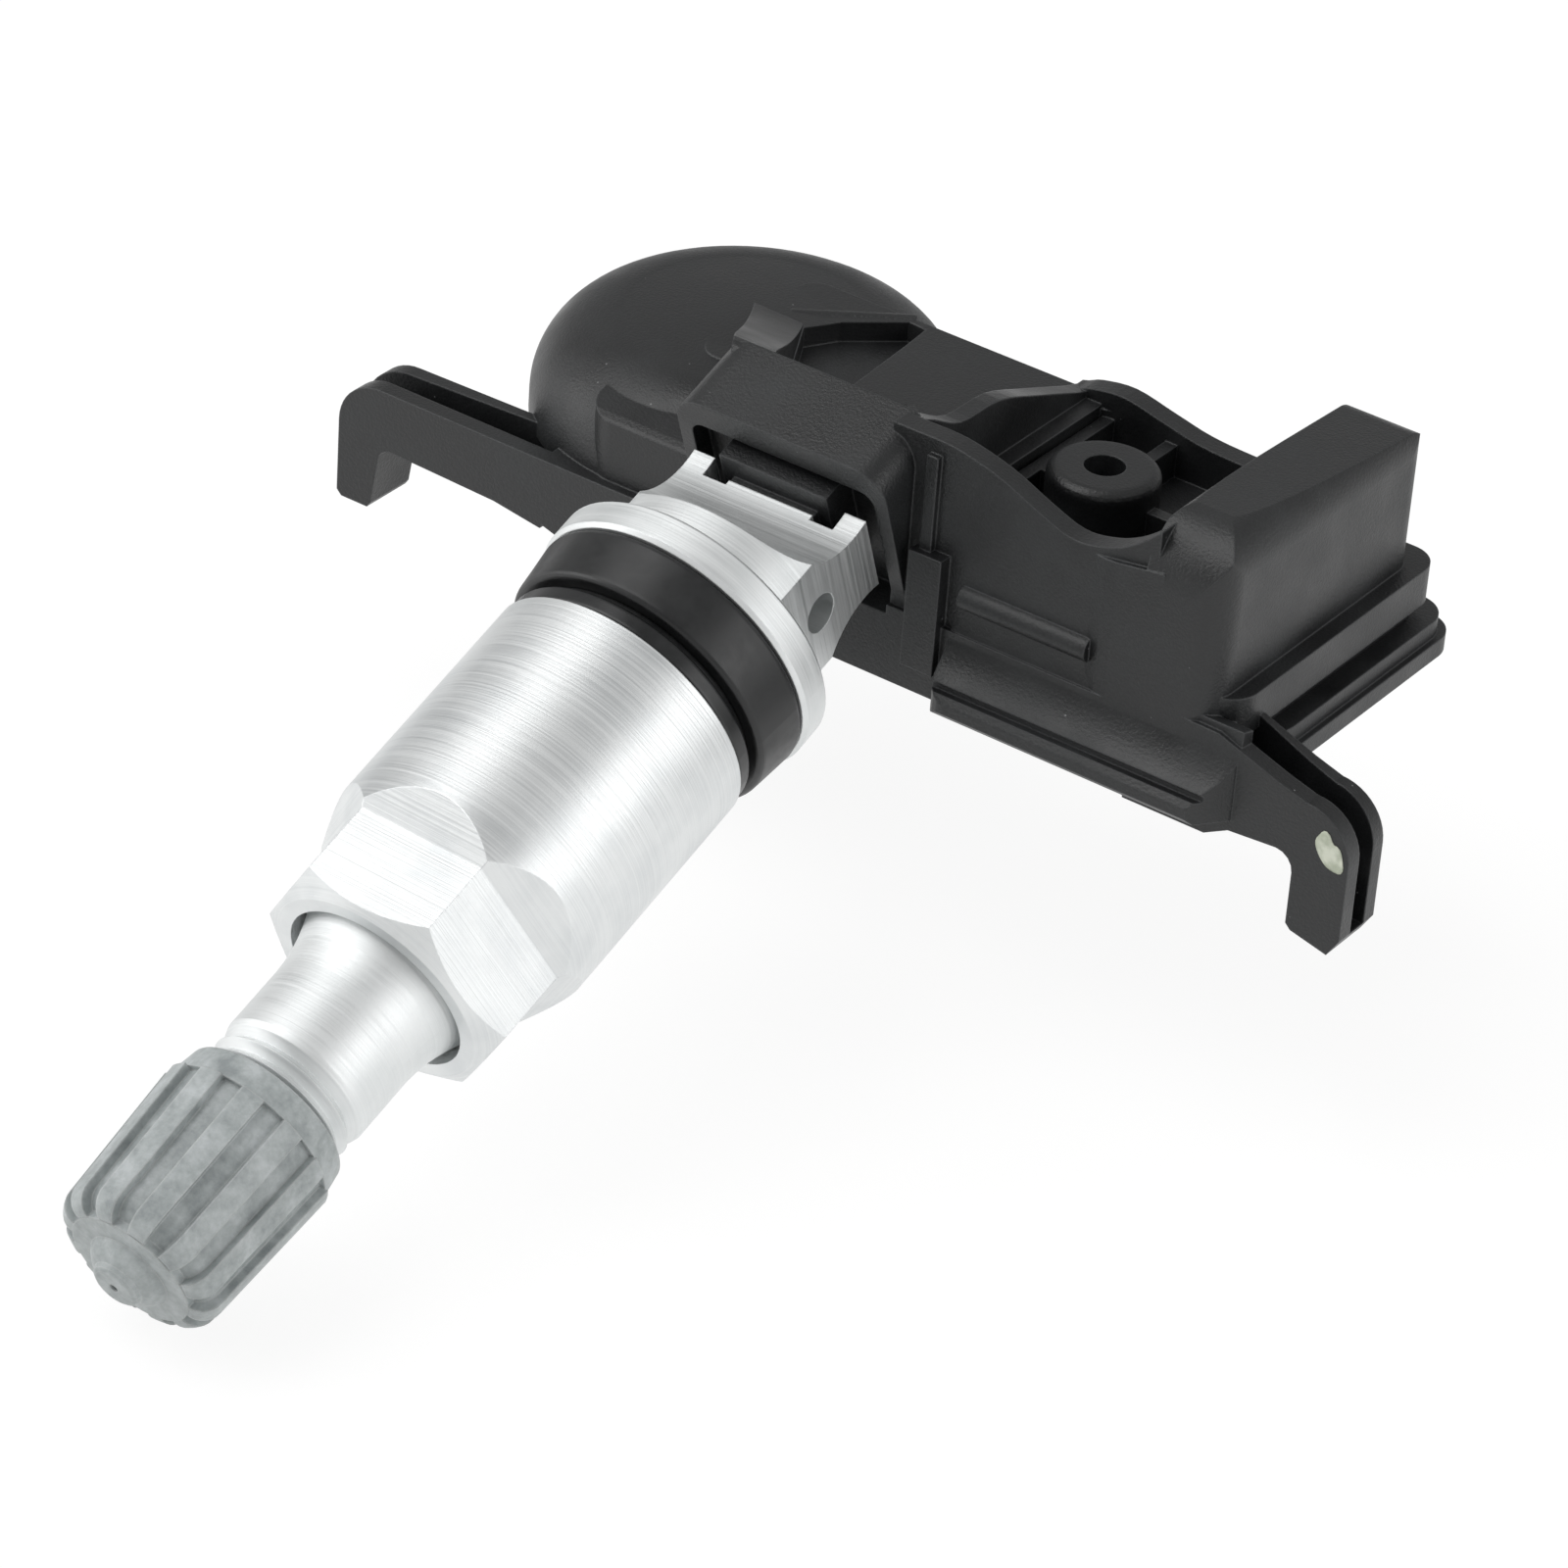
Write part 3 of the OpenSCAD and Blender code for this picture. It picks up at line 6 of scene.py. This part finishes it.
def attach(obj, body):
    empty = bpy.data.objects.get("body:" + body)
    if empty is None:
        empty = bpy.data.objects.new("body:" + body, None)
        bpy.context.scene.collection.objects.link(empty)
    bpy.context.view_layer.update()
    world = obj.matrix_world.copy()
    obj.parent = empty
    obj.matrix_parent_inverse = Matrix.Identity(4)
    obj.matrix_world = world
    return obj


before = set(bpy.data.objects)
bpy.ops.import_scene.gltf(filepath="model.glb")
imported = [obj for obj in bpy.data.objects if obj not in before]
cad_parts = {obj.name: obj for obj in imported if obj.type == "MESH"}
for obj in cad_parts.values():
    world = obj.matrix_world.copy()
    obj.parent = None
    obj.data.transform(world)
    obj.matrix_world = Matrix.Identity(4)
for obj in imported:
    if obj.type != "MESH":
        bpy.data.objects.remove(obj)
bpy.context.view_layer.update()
print("frame loaded")

mm = 0.001
valveTilt = math.radians(20.5)  # the valve points along -Y and down by this much
bevelSamples = 4
noiseLow, noiseHigh = 0.3, 0.7  # most of a noise's values lie between these


# Camera

view = {
    "place": (0.15908, -0.22525, 0.17187),
    "right": (0.80725, 0.58683, 0.06328),
    "up": (-0.36086, 0.40587, 0.83968),
    "back": (0.46706, -0.70065, 0.53939),
    "lens": 155.86, "sensor": 36.0,
    "near": 0.01, "far": 20,
}

cameraData = bpy.data.cameras.new("photoCamera")
cameraData.lens = view["lens"]
cameraData.sensor_width = view["sensor"]
cameraData.clip_start = view["near"]
cameraData.clip_end = view["far"]
camera = bpy.data.objects.new("photoCamera", cameraData)
bpy.context.scene.collection.objects.link(camera)
camera.matrix_world = Matrix([
    [view["right"][i], view["up"][i], view["back"][i], view["place"][i]] for i in range(3)
] + [[0, 0, 0, 1]])
bpy.context.scene.camera = camera
print("camera set")


# Small helpers

def toLinear(hexColour):
    channels = [int(hexColour[i:i + 2], 16) / 255 for i in (1, 3, 5)]
    return tuple(c / 12.92 if c <= 0.04045 else ((c + 0.055) / 1.055) ** 2.4 for c in channels) + (1.0,)


def addNode(tree, kind, settings=None, links=None):
    node = tree.nodes.new(kind)
    for name, value in (settings or {}).items():
        if isinstance(name, int) or name in node.inputs:
            node.inputs[name].default_value = value
        else:
            setattr(node, name, value)
    for name, source in (links or {}).items():
        tree.links.new(source, node.inputs[name])
    return node


def startMaterial(name, shader):
    material = bpy.data.materials.new(name)
    material.use_nodes = True
    tree = material.node_tree
    tree.nodes.clear()
    surface = addNode(tree, "ShaderNodeBsdfPrincipled", shader)
    addNode(tree, "ShaderNodeOutputMaterial", links={"Surface": surface.outputs["BSDF"]})
    place = addNode(tree, "ShaderNodeTexCoord").outputs["Object"]
    return material, tree, surface, place


def setRamp(node, positions, colours):
    ramp = node.color_ramp
    while len(ramp.elements) < len(positions):
        ramp.elements.new(0.5)
    for element, position, colour in zip(ramp.elements, positions, colours):
        element.position = position
        element.color = toLinear(colour)


def paintEdgeHighlight(tree, look, colour):
    # where the rounded normal leaves the face's own there is an edge, and there a paler colour is mixed in
    # as a painted highlight
    soft = addNode(tree, "ShaderNodeBevel", {"samples": bevelSamples, "Radius": look["edge"] * mm})
    face = addNode(tree, "ShaderNodeNewGeometry")
    turned = addNode(tree, "ShaderNodeVectorMath", {"operation": "DOT_PRODUCT"},
                     {0: soft.outputs["Normal"], 1: face.outputs["Normal"]})
    highlightStart, highlightEnd, highlightShare = look["highlightRange"]
    highlightMask = addNode(tree, "ShaderNodeMapRange",
                     {"From Min": highlightStart, "From Max": highlightEnd, "To Min": 0.0, "To Max": highlightShare},
                     {"Value": turned.outputs["Value"]})
    highlighted = addNode(tree, "ShaderNodeMix", {"data_type": "RGBA", 7: toLinear(look["highlightColour"])},
                   {0: highlightMask.outputs["Result"], 6: colour})
    return soft.outputs["Normal"], highlighted.outputs[2]


def finishSurface(tree, surface, look, colour, shineBy, bumpBy, normal=None):
    # one pattern varies the gloss and one raises the grain
    tree.links.new(colour, surface.inputs["Base Color"])
    glossy, dull = look["rough"]
    shine = addNode(tree, "ShaderNodeMapRange",
                    {"From Min": noiseLow, "From Max": noiseHigh, "To Min": glossy, "To Max": dull},
                    {"Value": shineBy})
    tree.links.new(shine.outputs["Result"], surface.inputs["Roughness"])
    bump = addNode(tree, "ShaderNodeBump", {"Strength": look["bump"], "Distance": look["depth"] * mm},
                   {"Height": bumpBy})
    if normal:
        tree.links.new(normal, bump.inputs["Normal"])
    tree.links.new(bump.outputs["Normal"], surface.inputs["Normal"])


def deselectAll():
    if bpy.context.object and bpy.context.object.mode != "OBJECT":
        bpy.ops.object.mode_set(mode="OBJECT")
    bpy.ops.object.select_all(action="DESELECT")


def settle(piece, name, material, matrix=None):
    # a finished piece sits at the origin, with its place in its mesh
    deselectAll()
    bpy.context.view_layer.objects.active = piece
    piece.select_set(True)
    bpy.ops.object.transform_apply(location=True, rotation=True, scale=True)
    if matrix is not None:
        piece.data.transform(matrix)
    piece.name = name
    piece.data.name = name
    piece.data.materials.clear()
    piece.data.materials.append(material)
    deselectAll()


# Moulded housing and cover

polyamide = {
    "dark": "#131415", "mid": "#1c1d1e", "pale": "#282a2b", "stops": (0.42, 0.68, 0.95),
    "grain": 0.16, "grainShare": 0.35, "patch": 4.0,  # grain and patches in mm
    # the paler edge colour below and its range paint a highlight along the edges
    "highlightColour": "#5c5e60", "edge": 0.14, "highlightRange": (0.97, 0.75, 0.6),
    "dust": "#a4a6a7", "dustGap": 1.7, "speck": (0.036, 0.02, 0.5),  # a speck's rim, middle and cover
    "rough": (0.35, 0.53), "bump": 0.6, "depth": 0.05,
}
coverLook = dict(polyamide, mid="#1f2021", depth=0.04)


def makePolyamide(name, look):
    # glass-filled polyamide from a spark-eroded mould: dull black, fine-grained, with a few specks of dust
    # and a painted highlight along its edges
    material, tree, surface, place = startMaterial(name, {"IOR": 1.53})
    grain = addNode(tree, "ShaderNodeTexNoise",
                    {"Scale": 1 / (look["grain"] * mm), "Detail": 2.0, "Roughness": 0.6}, {"Vector": place})
    patches = addNode(tree, "ShaderNodeTexNoise", {"Scale": 1 / (look["patch"] * mm), "Detail": 4.0},
                      {"Vector": place})
    blend = addNode(tree, "ShaderNodeMath", {"operation": "MULTIPLY_ADD", 1: look["grainShare"]},
                    {0: grain.outputs["Fac"], 2: patches.outputs["Fac"]})
    tint = addNode(tree, "ShaderNodeValToRGB", links={"Fac": blend.outputs[0]})
    setRamp(tint, look["stops"], (look["dark"], look["mid"], look["pale"]))
    # the paler edges are a painted highlight
    normal, highlighted = paintEdgeHighlight(tree, look, tint.outputs["Color"])
    # real dust is finer than this, and is drawn as coarse as it needs to show
    dust = addNode(tree, "ShaderNodeTexVoronoi", {"Scale": 1 / (look["dustGap"] * mm)}, {"Vector": place})
    speckRim, speckMiddle, speckCover = look["speck"]
    speck = addNode(tree, "ShaderNodeMapRange",
                    {"From Min": speckRim, "From Max": speckMiddle, "To Min": 0.0, "To Max": speckCover},
                    {"Value": dust.outputs["Distance"]})
    dusted = addNode(tree, "ShaderNodeMix", {"data_type": "RGBA", 7: toLinear(look["dust"])},
                     {0: speck.outputs["Result"], 6: highlighted})
    finishSurface(tree, surface, look, dusted.outputs[2], patches.outputs["Fac"], grain.outputs["Fac"],
                  normal)
    return material


# Sleeve nut and stem

anodised = {
    "tone": "#e9ebeb", "shade": "#d7dadb", "stops": (0.6, 1.0),
    "line": 0.11, "lineShare": 0.8, "across": 60, "cloud": 3.5,  # lines and clouds in mm, across per metre
    "edge": 0.08, "rough": (0.4, 0.54), "bump": 0.7, "depth": 0.02,
}
stemLook = dict(anodised, shade="#dcdfdf", line=0.2, rough=(0.48, 0.62))


def makeTurnedAluminium(name, look):
    # satin anodised aluminium, turned on a lathe: pale, with fine rings about the valve axis
    material, tree, surface, place = startMaterial(name, {"Metallic": 1.0})
    along = addNode(tree, "ShaderNodeMapping",
                    {"vector_type": "POINT", "Rotation": (-(math.pi / 2 + valveTilt), 0, 0)},
                    {"Vector": place})
    # the real feed marks are 0.05 mm apart, drawn coarser so that they show
    rings = addNode(tree, "ShaderNodeMapping",
                    {"Scale": (look["across"], look["across"], 1 / (look["line"] * mm))},
                    {"Vector": along.outputs["Vector"]})
    lines = addNode(tree, "ShaderNodeTexNoise", {"Scale": 1.0, "Detail": 2.0, "Roughness": 0.75},
                    {"Vector": rings.outputs["Vector"]})
    cloud = addNode(tree, "ShaderNodeTexNoise", {"Scale": 1 / (look["cloud"] * mm), "Detail": 4.0},
                    {"Vector": place})
    mixed = addNode(tree, "ShaderNodeMath", {"operation": "MULTIPLY_ADD", 1: look["lineShare"]},
                    {0: lines.outputs["Fac"], 2: cloud.outputs["Fac"]})
    tint = addNode(tree, "ShaderNodeValToRGB", links={"Fac": mixed.outputs[0]})
    setRamp(tint, look["stops"], (look["shade"], look["tone"]))
    soft = addNode(tree, "ShaderNodeBevel", {"samples": bevelSamples, "Radius": look["edge"] * mm})
    finishSurface(tree, surface, look, tint.outputs["Color"], lines.outputs["Fac"], lines.outputs["Fac"],
                  soft.outputs["Normal"])
    return material


# Seals and washer

sealLook = {
    "dark": "#121314", "pale": "#232425", "stops": (0.35, 0.8), "bloom": 1.6,  # bloom in mm
    "edge": 0.1, "rough": (0.33, 0.5), "bump": 0.15, "depth": 0.02,
}
washerLook = dict(sealLook, rough=(0.25, 0.42))


def makeRubber(name, look):
    # moulded EPDM rubber: near black, smooth, with a faint dusty bloom
    material, tree, surface, place = startMaterial(name, {"IOR": 1.5})
    bloom = addNode(tree, "ShaderNodeTexNoise",
                    {"Scale": 1 / (look["bloom"] * mm), "Detail": 5.0, "Roughness": 0.65}, {"Vector": place})
    tint = addNode(tree, "ShaderNodeValToRGB", links={"Fac": bloom.outputs["Fac"]})
    setRamp(tint, look["stops"], (look["dark"], look["pale"]))
    soft = addNode(tree, "ShaderNodeBevel", {"samples": bevelSamples, "Radius": look["edge"] * mm})
    finishSurface(tree, surface, look, tint.outputs["Color"], bloom.outputs["Fac"], bloom.outputs["Fac"],
                  soft.outputs["Normal"])
    return material


# Valve cap

capLook = {
    "dark": "#8f9596", "mid": "#a6acac", "pale": "#bcc1c2", "stops": (0.52, 0.7, 0.9),
    "cloud": 1.7, "scuff": 0.35, "scuffShare": 0.4,  # clouds and scuffs in mm
    # the paler edge colour below and its range paint a highlight along the rib edges
    "highlightColour": "#dfe2e1", "edge": 0.16, "highlightRange": (0.98, 0.8, 0.7),
    "rough": (0.34, 0.54), "bump": 0.4, "depth": 0.03,
}


def makeCapPlastic(name, look):
    # grey moulded polyamide, handled and scuffed: clouded, with a paler highlight painted along the rib
    # edges
    material, tree, surface, place = startMaterial(name, {"IOR": 1.5})
    clouds = addNode(tree, "ShaderNodeTexNoise",
                     {"Scale": 1 / (look["cloud"] * mm), "Detail": 4.0, "Roughness": 0.6}, {"Vector": place})
    scuffs = addNode(tree, "ShaderNodeTexNoise",
                     {"Scale": 1 / (look["scuff"] * mm), "Detail": 3.0, "Roughness": 0.7}, {"Vector": place})
    blend = addNode(tree, "ShaderNodeMath", {"operation": "MULTIPLY_ADD", 1: look["scuffShare"]},
                    {0: scuffs.outputs["Fac"], 2: clouds.outputs["Fac"]})
    tint = addNode(tree, "ShaderNodeValToRGB", links={"Fac": blend.outputs[0]})
    setRamp(tint, look["stops"], (look["dark"], look["mid"], look["pale"]))
    # the paler rib edges are a painted highlight
    normal, highlighted = paintEdgeHighlight(tree, look, tint.outputs["Color"])
    finishSurface(tree, surface, look, highlighted, clouds.outputs["Fac"], scuffs.outputs["Fac"], normal)
    return material


# Pieces inside

# low and high colour, metallic, roughness, mottle in mm
innerLooks = {
    "solderMask": ("#1f5a38", "#2b7049", 0.0, 0.32, 1.2),  # lacquered circuit laminate, green and glossy
    "nickelSteel": ("#b9b8b2", "#cfcec9", 1.0, 0.28, 0.8),  # nickel-plated steel can, bright and smooth
    "chipCase": ("#191a1b", "#242526", 0.0, 0.5, 0.2),  # epoxy chip case, dull black
    "siliconeGasket": ("#8c4632", "#a5563e", 0.0, 0.45, 0.6),  # soft silicone, brick red
    "ferrite": ("#2f2f31", "#3d3d40", 0.0, 0.6, 0.3),  # sintered ferrite, dull dark grey
    "enamelledCopper": ("#8f4a22", "#b5652f", 1.0, 0.3, 0.15),  # wound enamelled wire, warm brown
    "tinnedStrip": ("#a8a49a", "#c2beb4", 1.0, 0.35, 0.5),  # tinned bronze strip, dull silver
    "capacitorCeramic": ("#8b6b4c", "#a17f5d", 0.0, 0.5, 0.2),  # fired ceramic, matt tan
    "turnedBrass": ("#a8843c", "#c9a457", 1.0, 0.3, 0.2),  # turned brass, yellow and bright
    "springSteel": ("#8d8f91", "#b2b4b6", 1.0, 0.3, 0.3),  # drawn wire, grey and smooth
    "zincSteel": ("#8f9294", "#b5b8ba", 1.0, 0.36, 0.3),  # zinc-plated screw steel, satin grey
}
innerGrain = {"stops": (0.35, 0.7), "glossier": 0.06, "duller": 0.08, "bump": 0.2, "depth": 0.02}


def makeInnerFinish(name, innerLook):
    low, high, metallic, rough, mottle = innerLook
    look = dict(innerGrain, rough=(rough - innerGrain["glossier"], rough + innerGrain["duller"]))
    material, tree, surface, place = startMaterial(name, {"Metallic": metallic})
    grain = addNode(tree, "ShaderNodeTexNoise", {"Scale": 1 / (mottle * mm), "Detail": 4.0},
                    {"Vector": place})
    tint = addNode(tree, "ShaderNodeValToRGB", links={"Fac": grain.outputs["Fac"]})
    setRamp(tint, look["stops"], (low, high))
    finishSurface(tree, surface, look, tint.outputs["Color"], grain.outputs["Fac"], grain.outputs["Fac"])
    return material


# Finishes on the solids

sealRubber = makeRubber("mouldedSealRubber", sealLook)
inner = {name: makeInnerFinish(name, look) for name, look in innerLooks.items()}

finishes = {
    "housing": makePolyamide("sparkErodedPolyamide", polyamide),
    "base_cover": makePolyamide("mouldedCoverPolyamide", coverLook),
    "valve_stem": makeTurnedAluminium("turnedStemAluminium", stemLook),
    "sleeve_nut": makeTurnedAluminium("satinAnodisedAluminium", anodised),
    "thrust_washer": makeRubber("washerRubber", washerLook),
    "valve_cap": makeCapPlastic("scuffedGreyPolyamide", capLook),
    "rubber_seal": sealRubber,
    "cap_seal": sealRubber,
    "core_seal": sealRubber,
    "circuit_board": inner["solderMask"],
    "battery_cell": inner["nickelSteel"],
    "battery_tab_upper": inner["nickelSteel"],
    "battery_tab_lower": inner["nickelSteel"],
    "crystal": inner["nickelSteel"],
    "sensor_chip": inner["chipCase"],
    "port_seal": inner["siliconeGasket"],
    "coil_core": inner["ferrite"],
    "coil_winding": inner["enamelledCopper"],
    "rf_antenna": inner["tinnedStrip"],
    "chip_capacitors": inner["capacitorCeramic"],
    "fixing_screw": inner["zincSteel"],
    "core_barrel": inner["turnedBrass"],
    "core_pin": inner["turnedBrass"],
    "core_spring": inner["springSteel"],
}
for nodeName, finish in finishes.items():
    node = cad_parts[nodeName]
    if not node.material_slots:
        node.data.materials.append(finish)
    for slot in node.material_slots:
        slot.material = finish
print("finishes made")


# Dab of paint on the right arm

dab = {  # mm, but for the shape that is made at radius 1
    "middle": (31.42, 13.0, -2.0),  # on the arm's front face
    "along": (0.517, -0.856),  # its way down the arm, in x and z
    "halfLength": 1.1, "halfWidth": 0.66, "proud": 0.07, "sunk": 0.03,
    "corners": 28, "rim": 0.14, "crown": 0.35, "dishRim": 0.25, "dish": 0.25,
    "waves": ((0.05, 3, 0.6), (0.03, 5, 0.0)),  # depth, number and shift of the waves in its outline
    "chip": (0.34, 2.1, 0.32),  # depth, place and width of the chip out of its upper edge
    "paint": "#dfe3d2", "thin": "#b9c0ab", "stops": (0.4, 0.62), "film": 0.7,
    "rough": (0.25, 0.42), "bump": 0.3, "depth": 0.03,
}


def makePaint(name, look):
    # air-dried marking paint: cream, greener where the film is thin, and glossy
    material, tree, surface, place = startMaterial(name, {"IOR": 1.5})
    film = addNode(tree, "ShaderNodeTexNoise", {"Scale": 1 / (look["film"] * mm), "Detail": 4.0},
                   {"Vector": place})
    tint = addNode(tree, "ShaderNodeValToRGB", links={"Fac": film.outputs["Fac"]})
    setRamp(tint, look["stops"], (look["thin"], look["paint"]))
    finishSurface(tree, surface, look, tint.outputs["Color"], film.outputs["Fac"], film.outputs["Fac"])
    return material


deselectAll()
bpy.ops.mesh.primitive_circle_add(vertices=dab["corners"], radius=1, fill_type="NGON")
paintDab = bpy.context.object
bpy.ops.object.mode_set(mode="EDIT")
bpy.ops.mesh.select_all(action="SELECT")
bpy.ops.mesh.extrude_region_move(TRANSFORM_OT_translate={"value": (0, 0, 1)})
bpy.ops.mesh.inset(thickness=dab["rim"])
bpy.ops.transform.translate(value=(0, 0, dab["crown"]))
bpy.ops.mesh.inset(thickness=dab["dishRim"])
bpy.ops.transform.translate(value=(0, 0, -dab["dish"]))
bpy.ops.mesh.select_all(action="SELECT")
bpy.ops.mesh.normals_make_consistent(inside=False)
bpy.ops.object.mode_set(mode="OBJECT")

chipDepth, chipPlace, chipWidth = dab["chip"]
thickness = dab["proud"] + dab["sunk"]
for corner in paintDab.data.vertices:
    turn = math.atan2(corner.co.y, corner.co.x)
    reach = 1
    for depth, number, shift in dab["waves"]:
        reach += depth * math.sin(number * turn + shift)
    reach -= chipDepth * math.exp(-((turn - chipPlace) / chipWidth) ** 2)
    corner.co.x *= reach * dab["halfLength"] * mm
    corner.co.y *= reach * dab["halfWidth"] * mm
    corner.co.z = (corner.co.z / (1 + dab["crown"]) * thickness - dab["sunk"]) * mm

alongX, alongZ = dab["along"]
middleX, middleY, middleZ = dab["middle"]
dabPlace = Matrix([
    [alongX, -alongZ, 0, middleX * mm],
    [0, 0, -1, middleY * mm],
    [alongZ, alongX, 0, middleZ * mm],
    [0, 0, 0, 1],
])
settle(paintDab, "paintDab", makePaint("markingPaint", dab), dabPlace)
paintDab.data.shade_smooth()
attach(paintDab, "sensor")
print("paint dab made")


# Floor, light and surroundings

studio = {
    "floorLevel": -0.0186, "floorSize": 4.0, "floorColour": "#f4f4f3",
    "floorGlow": 1.08, "glowShare": 0.8,
    "room": 0.44, "aim": (0.0, 0.0, 0.0),
    "lamps": {  # place, size, watts
        "upperLeft": ((-0.34, -0.22, 0.76), 0.6, 2.9),
        "leftFront": ((-0.7, -0.4, 0.25), 0.5, 2.1),
        "rightSide": ((0.75, 0.1, 0.3), 0.5, 1.9),
    },
}

deselectAll()
bpy.ops.mesh.primitive_plane_add(size=studio["floorSize"], location=(0, 0, studio["floorLevel"]))
floor = bpy.context.object
# matt white paper, lifted towards white where it is seen, mirrored or looked at through something clear
floorPaper = bpy.data.materials.new("whitePaper")
floorPaper.use_nodes = True
floorTree = floorPaper.node_tree
floorTree.nodes.clear()
paper = addNode(floorTree, "ShaderNodeBsdfDiffuse", {"Color": toLinear(studio["floorColour"])})
glow = addNode(floorTree, "ShaderNodeEmission", {"Color": (1, 1, 1, 1), "Strength": studio["floorGlow"]})
path = addNode(floorTree, "ShaderNodeLightPath")
seen = path.outputs["Is Camera Ray"]
for ray in ("Is Glossy Ray", "Is Transmission Ray"):
    seen = addNode(floorTree, "ShaderNodeMath", {"operation": "ADD", "use_clamp": True},
                   {0: seen, 1: path.outputs[ray]}).outputs[0]
share = addNode(floorTree, "ShaderNodeMath", {"operation": "MULTIPLY", 1: studio["glowShare"]}, {0: seen})
lifted = addNode(floorTree, "ShaderNodeMixShader",
                 links={0: share.outputs[0], 1: paper.outputs["BSDF"], 2: glow.outputs["Emission"]})
addNode(floorTree, "ShaderNodeOutputMaterial", links={"Surface": lifted.outputs["Shader"]})
settle(floor, "paperFloor", floorPaper)

world = bpy.data.worlds.new("studioRoom")
bpy.context.scene.world = world
world.use_nodes = True
worldTree = world.node_tree
worldTree.nodes.clear()
room = addNode(worldTree, "ShaderNodeBackground", {"Color": (1, 1, 1, 1), "Strength": studio["room"]})
addNode(worldTree, "ShaderNodeOutputWorld", links={"Surface": room.outputs["Background"]})

for lampName, (lampPlace, lampSize, lampPower) in studio["lamps"].items():
    lampData = bpy.data.lights.new(lampName, "AREA")
    lampData.size = lampSize
    lampData.energy = lampPower
    lamp = bpy.data.objects.new(lampName, lampData)
    bpy.context.scene.collection.objects.link(lamp)
    lamp.location = lampPlace
    lamp.rotation_euler = (Vector(studio["aim"]) - Vector(lampPlace)).to_track_quat("-Z", "Y").to_euler()
print("studio set")

bpy.context.scene.view_settings.view_transform = "Standard"
bpy.context.view_layer.update()
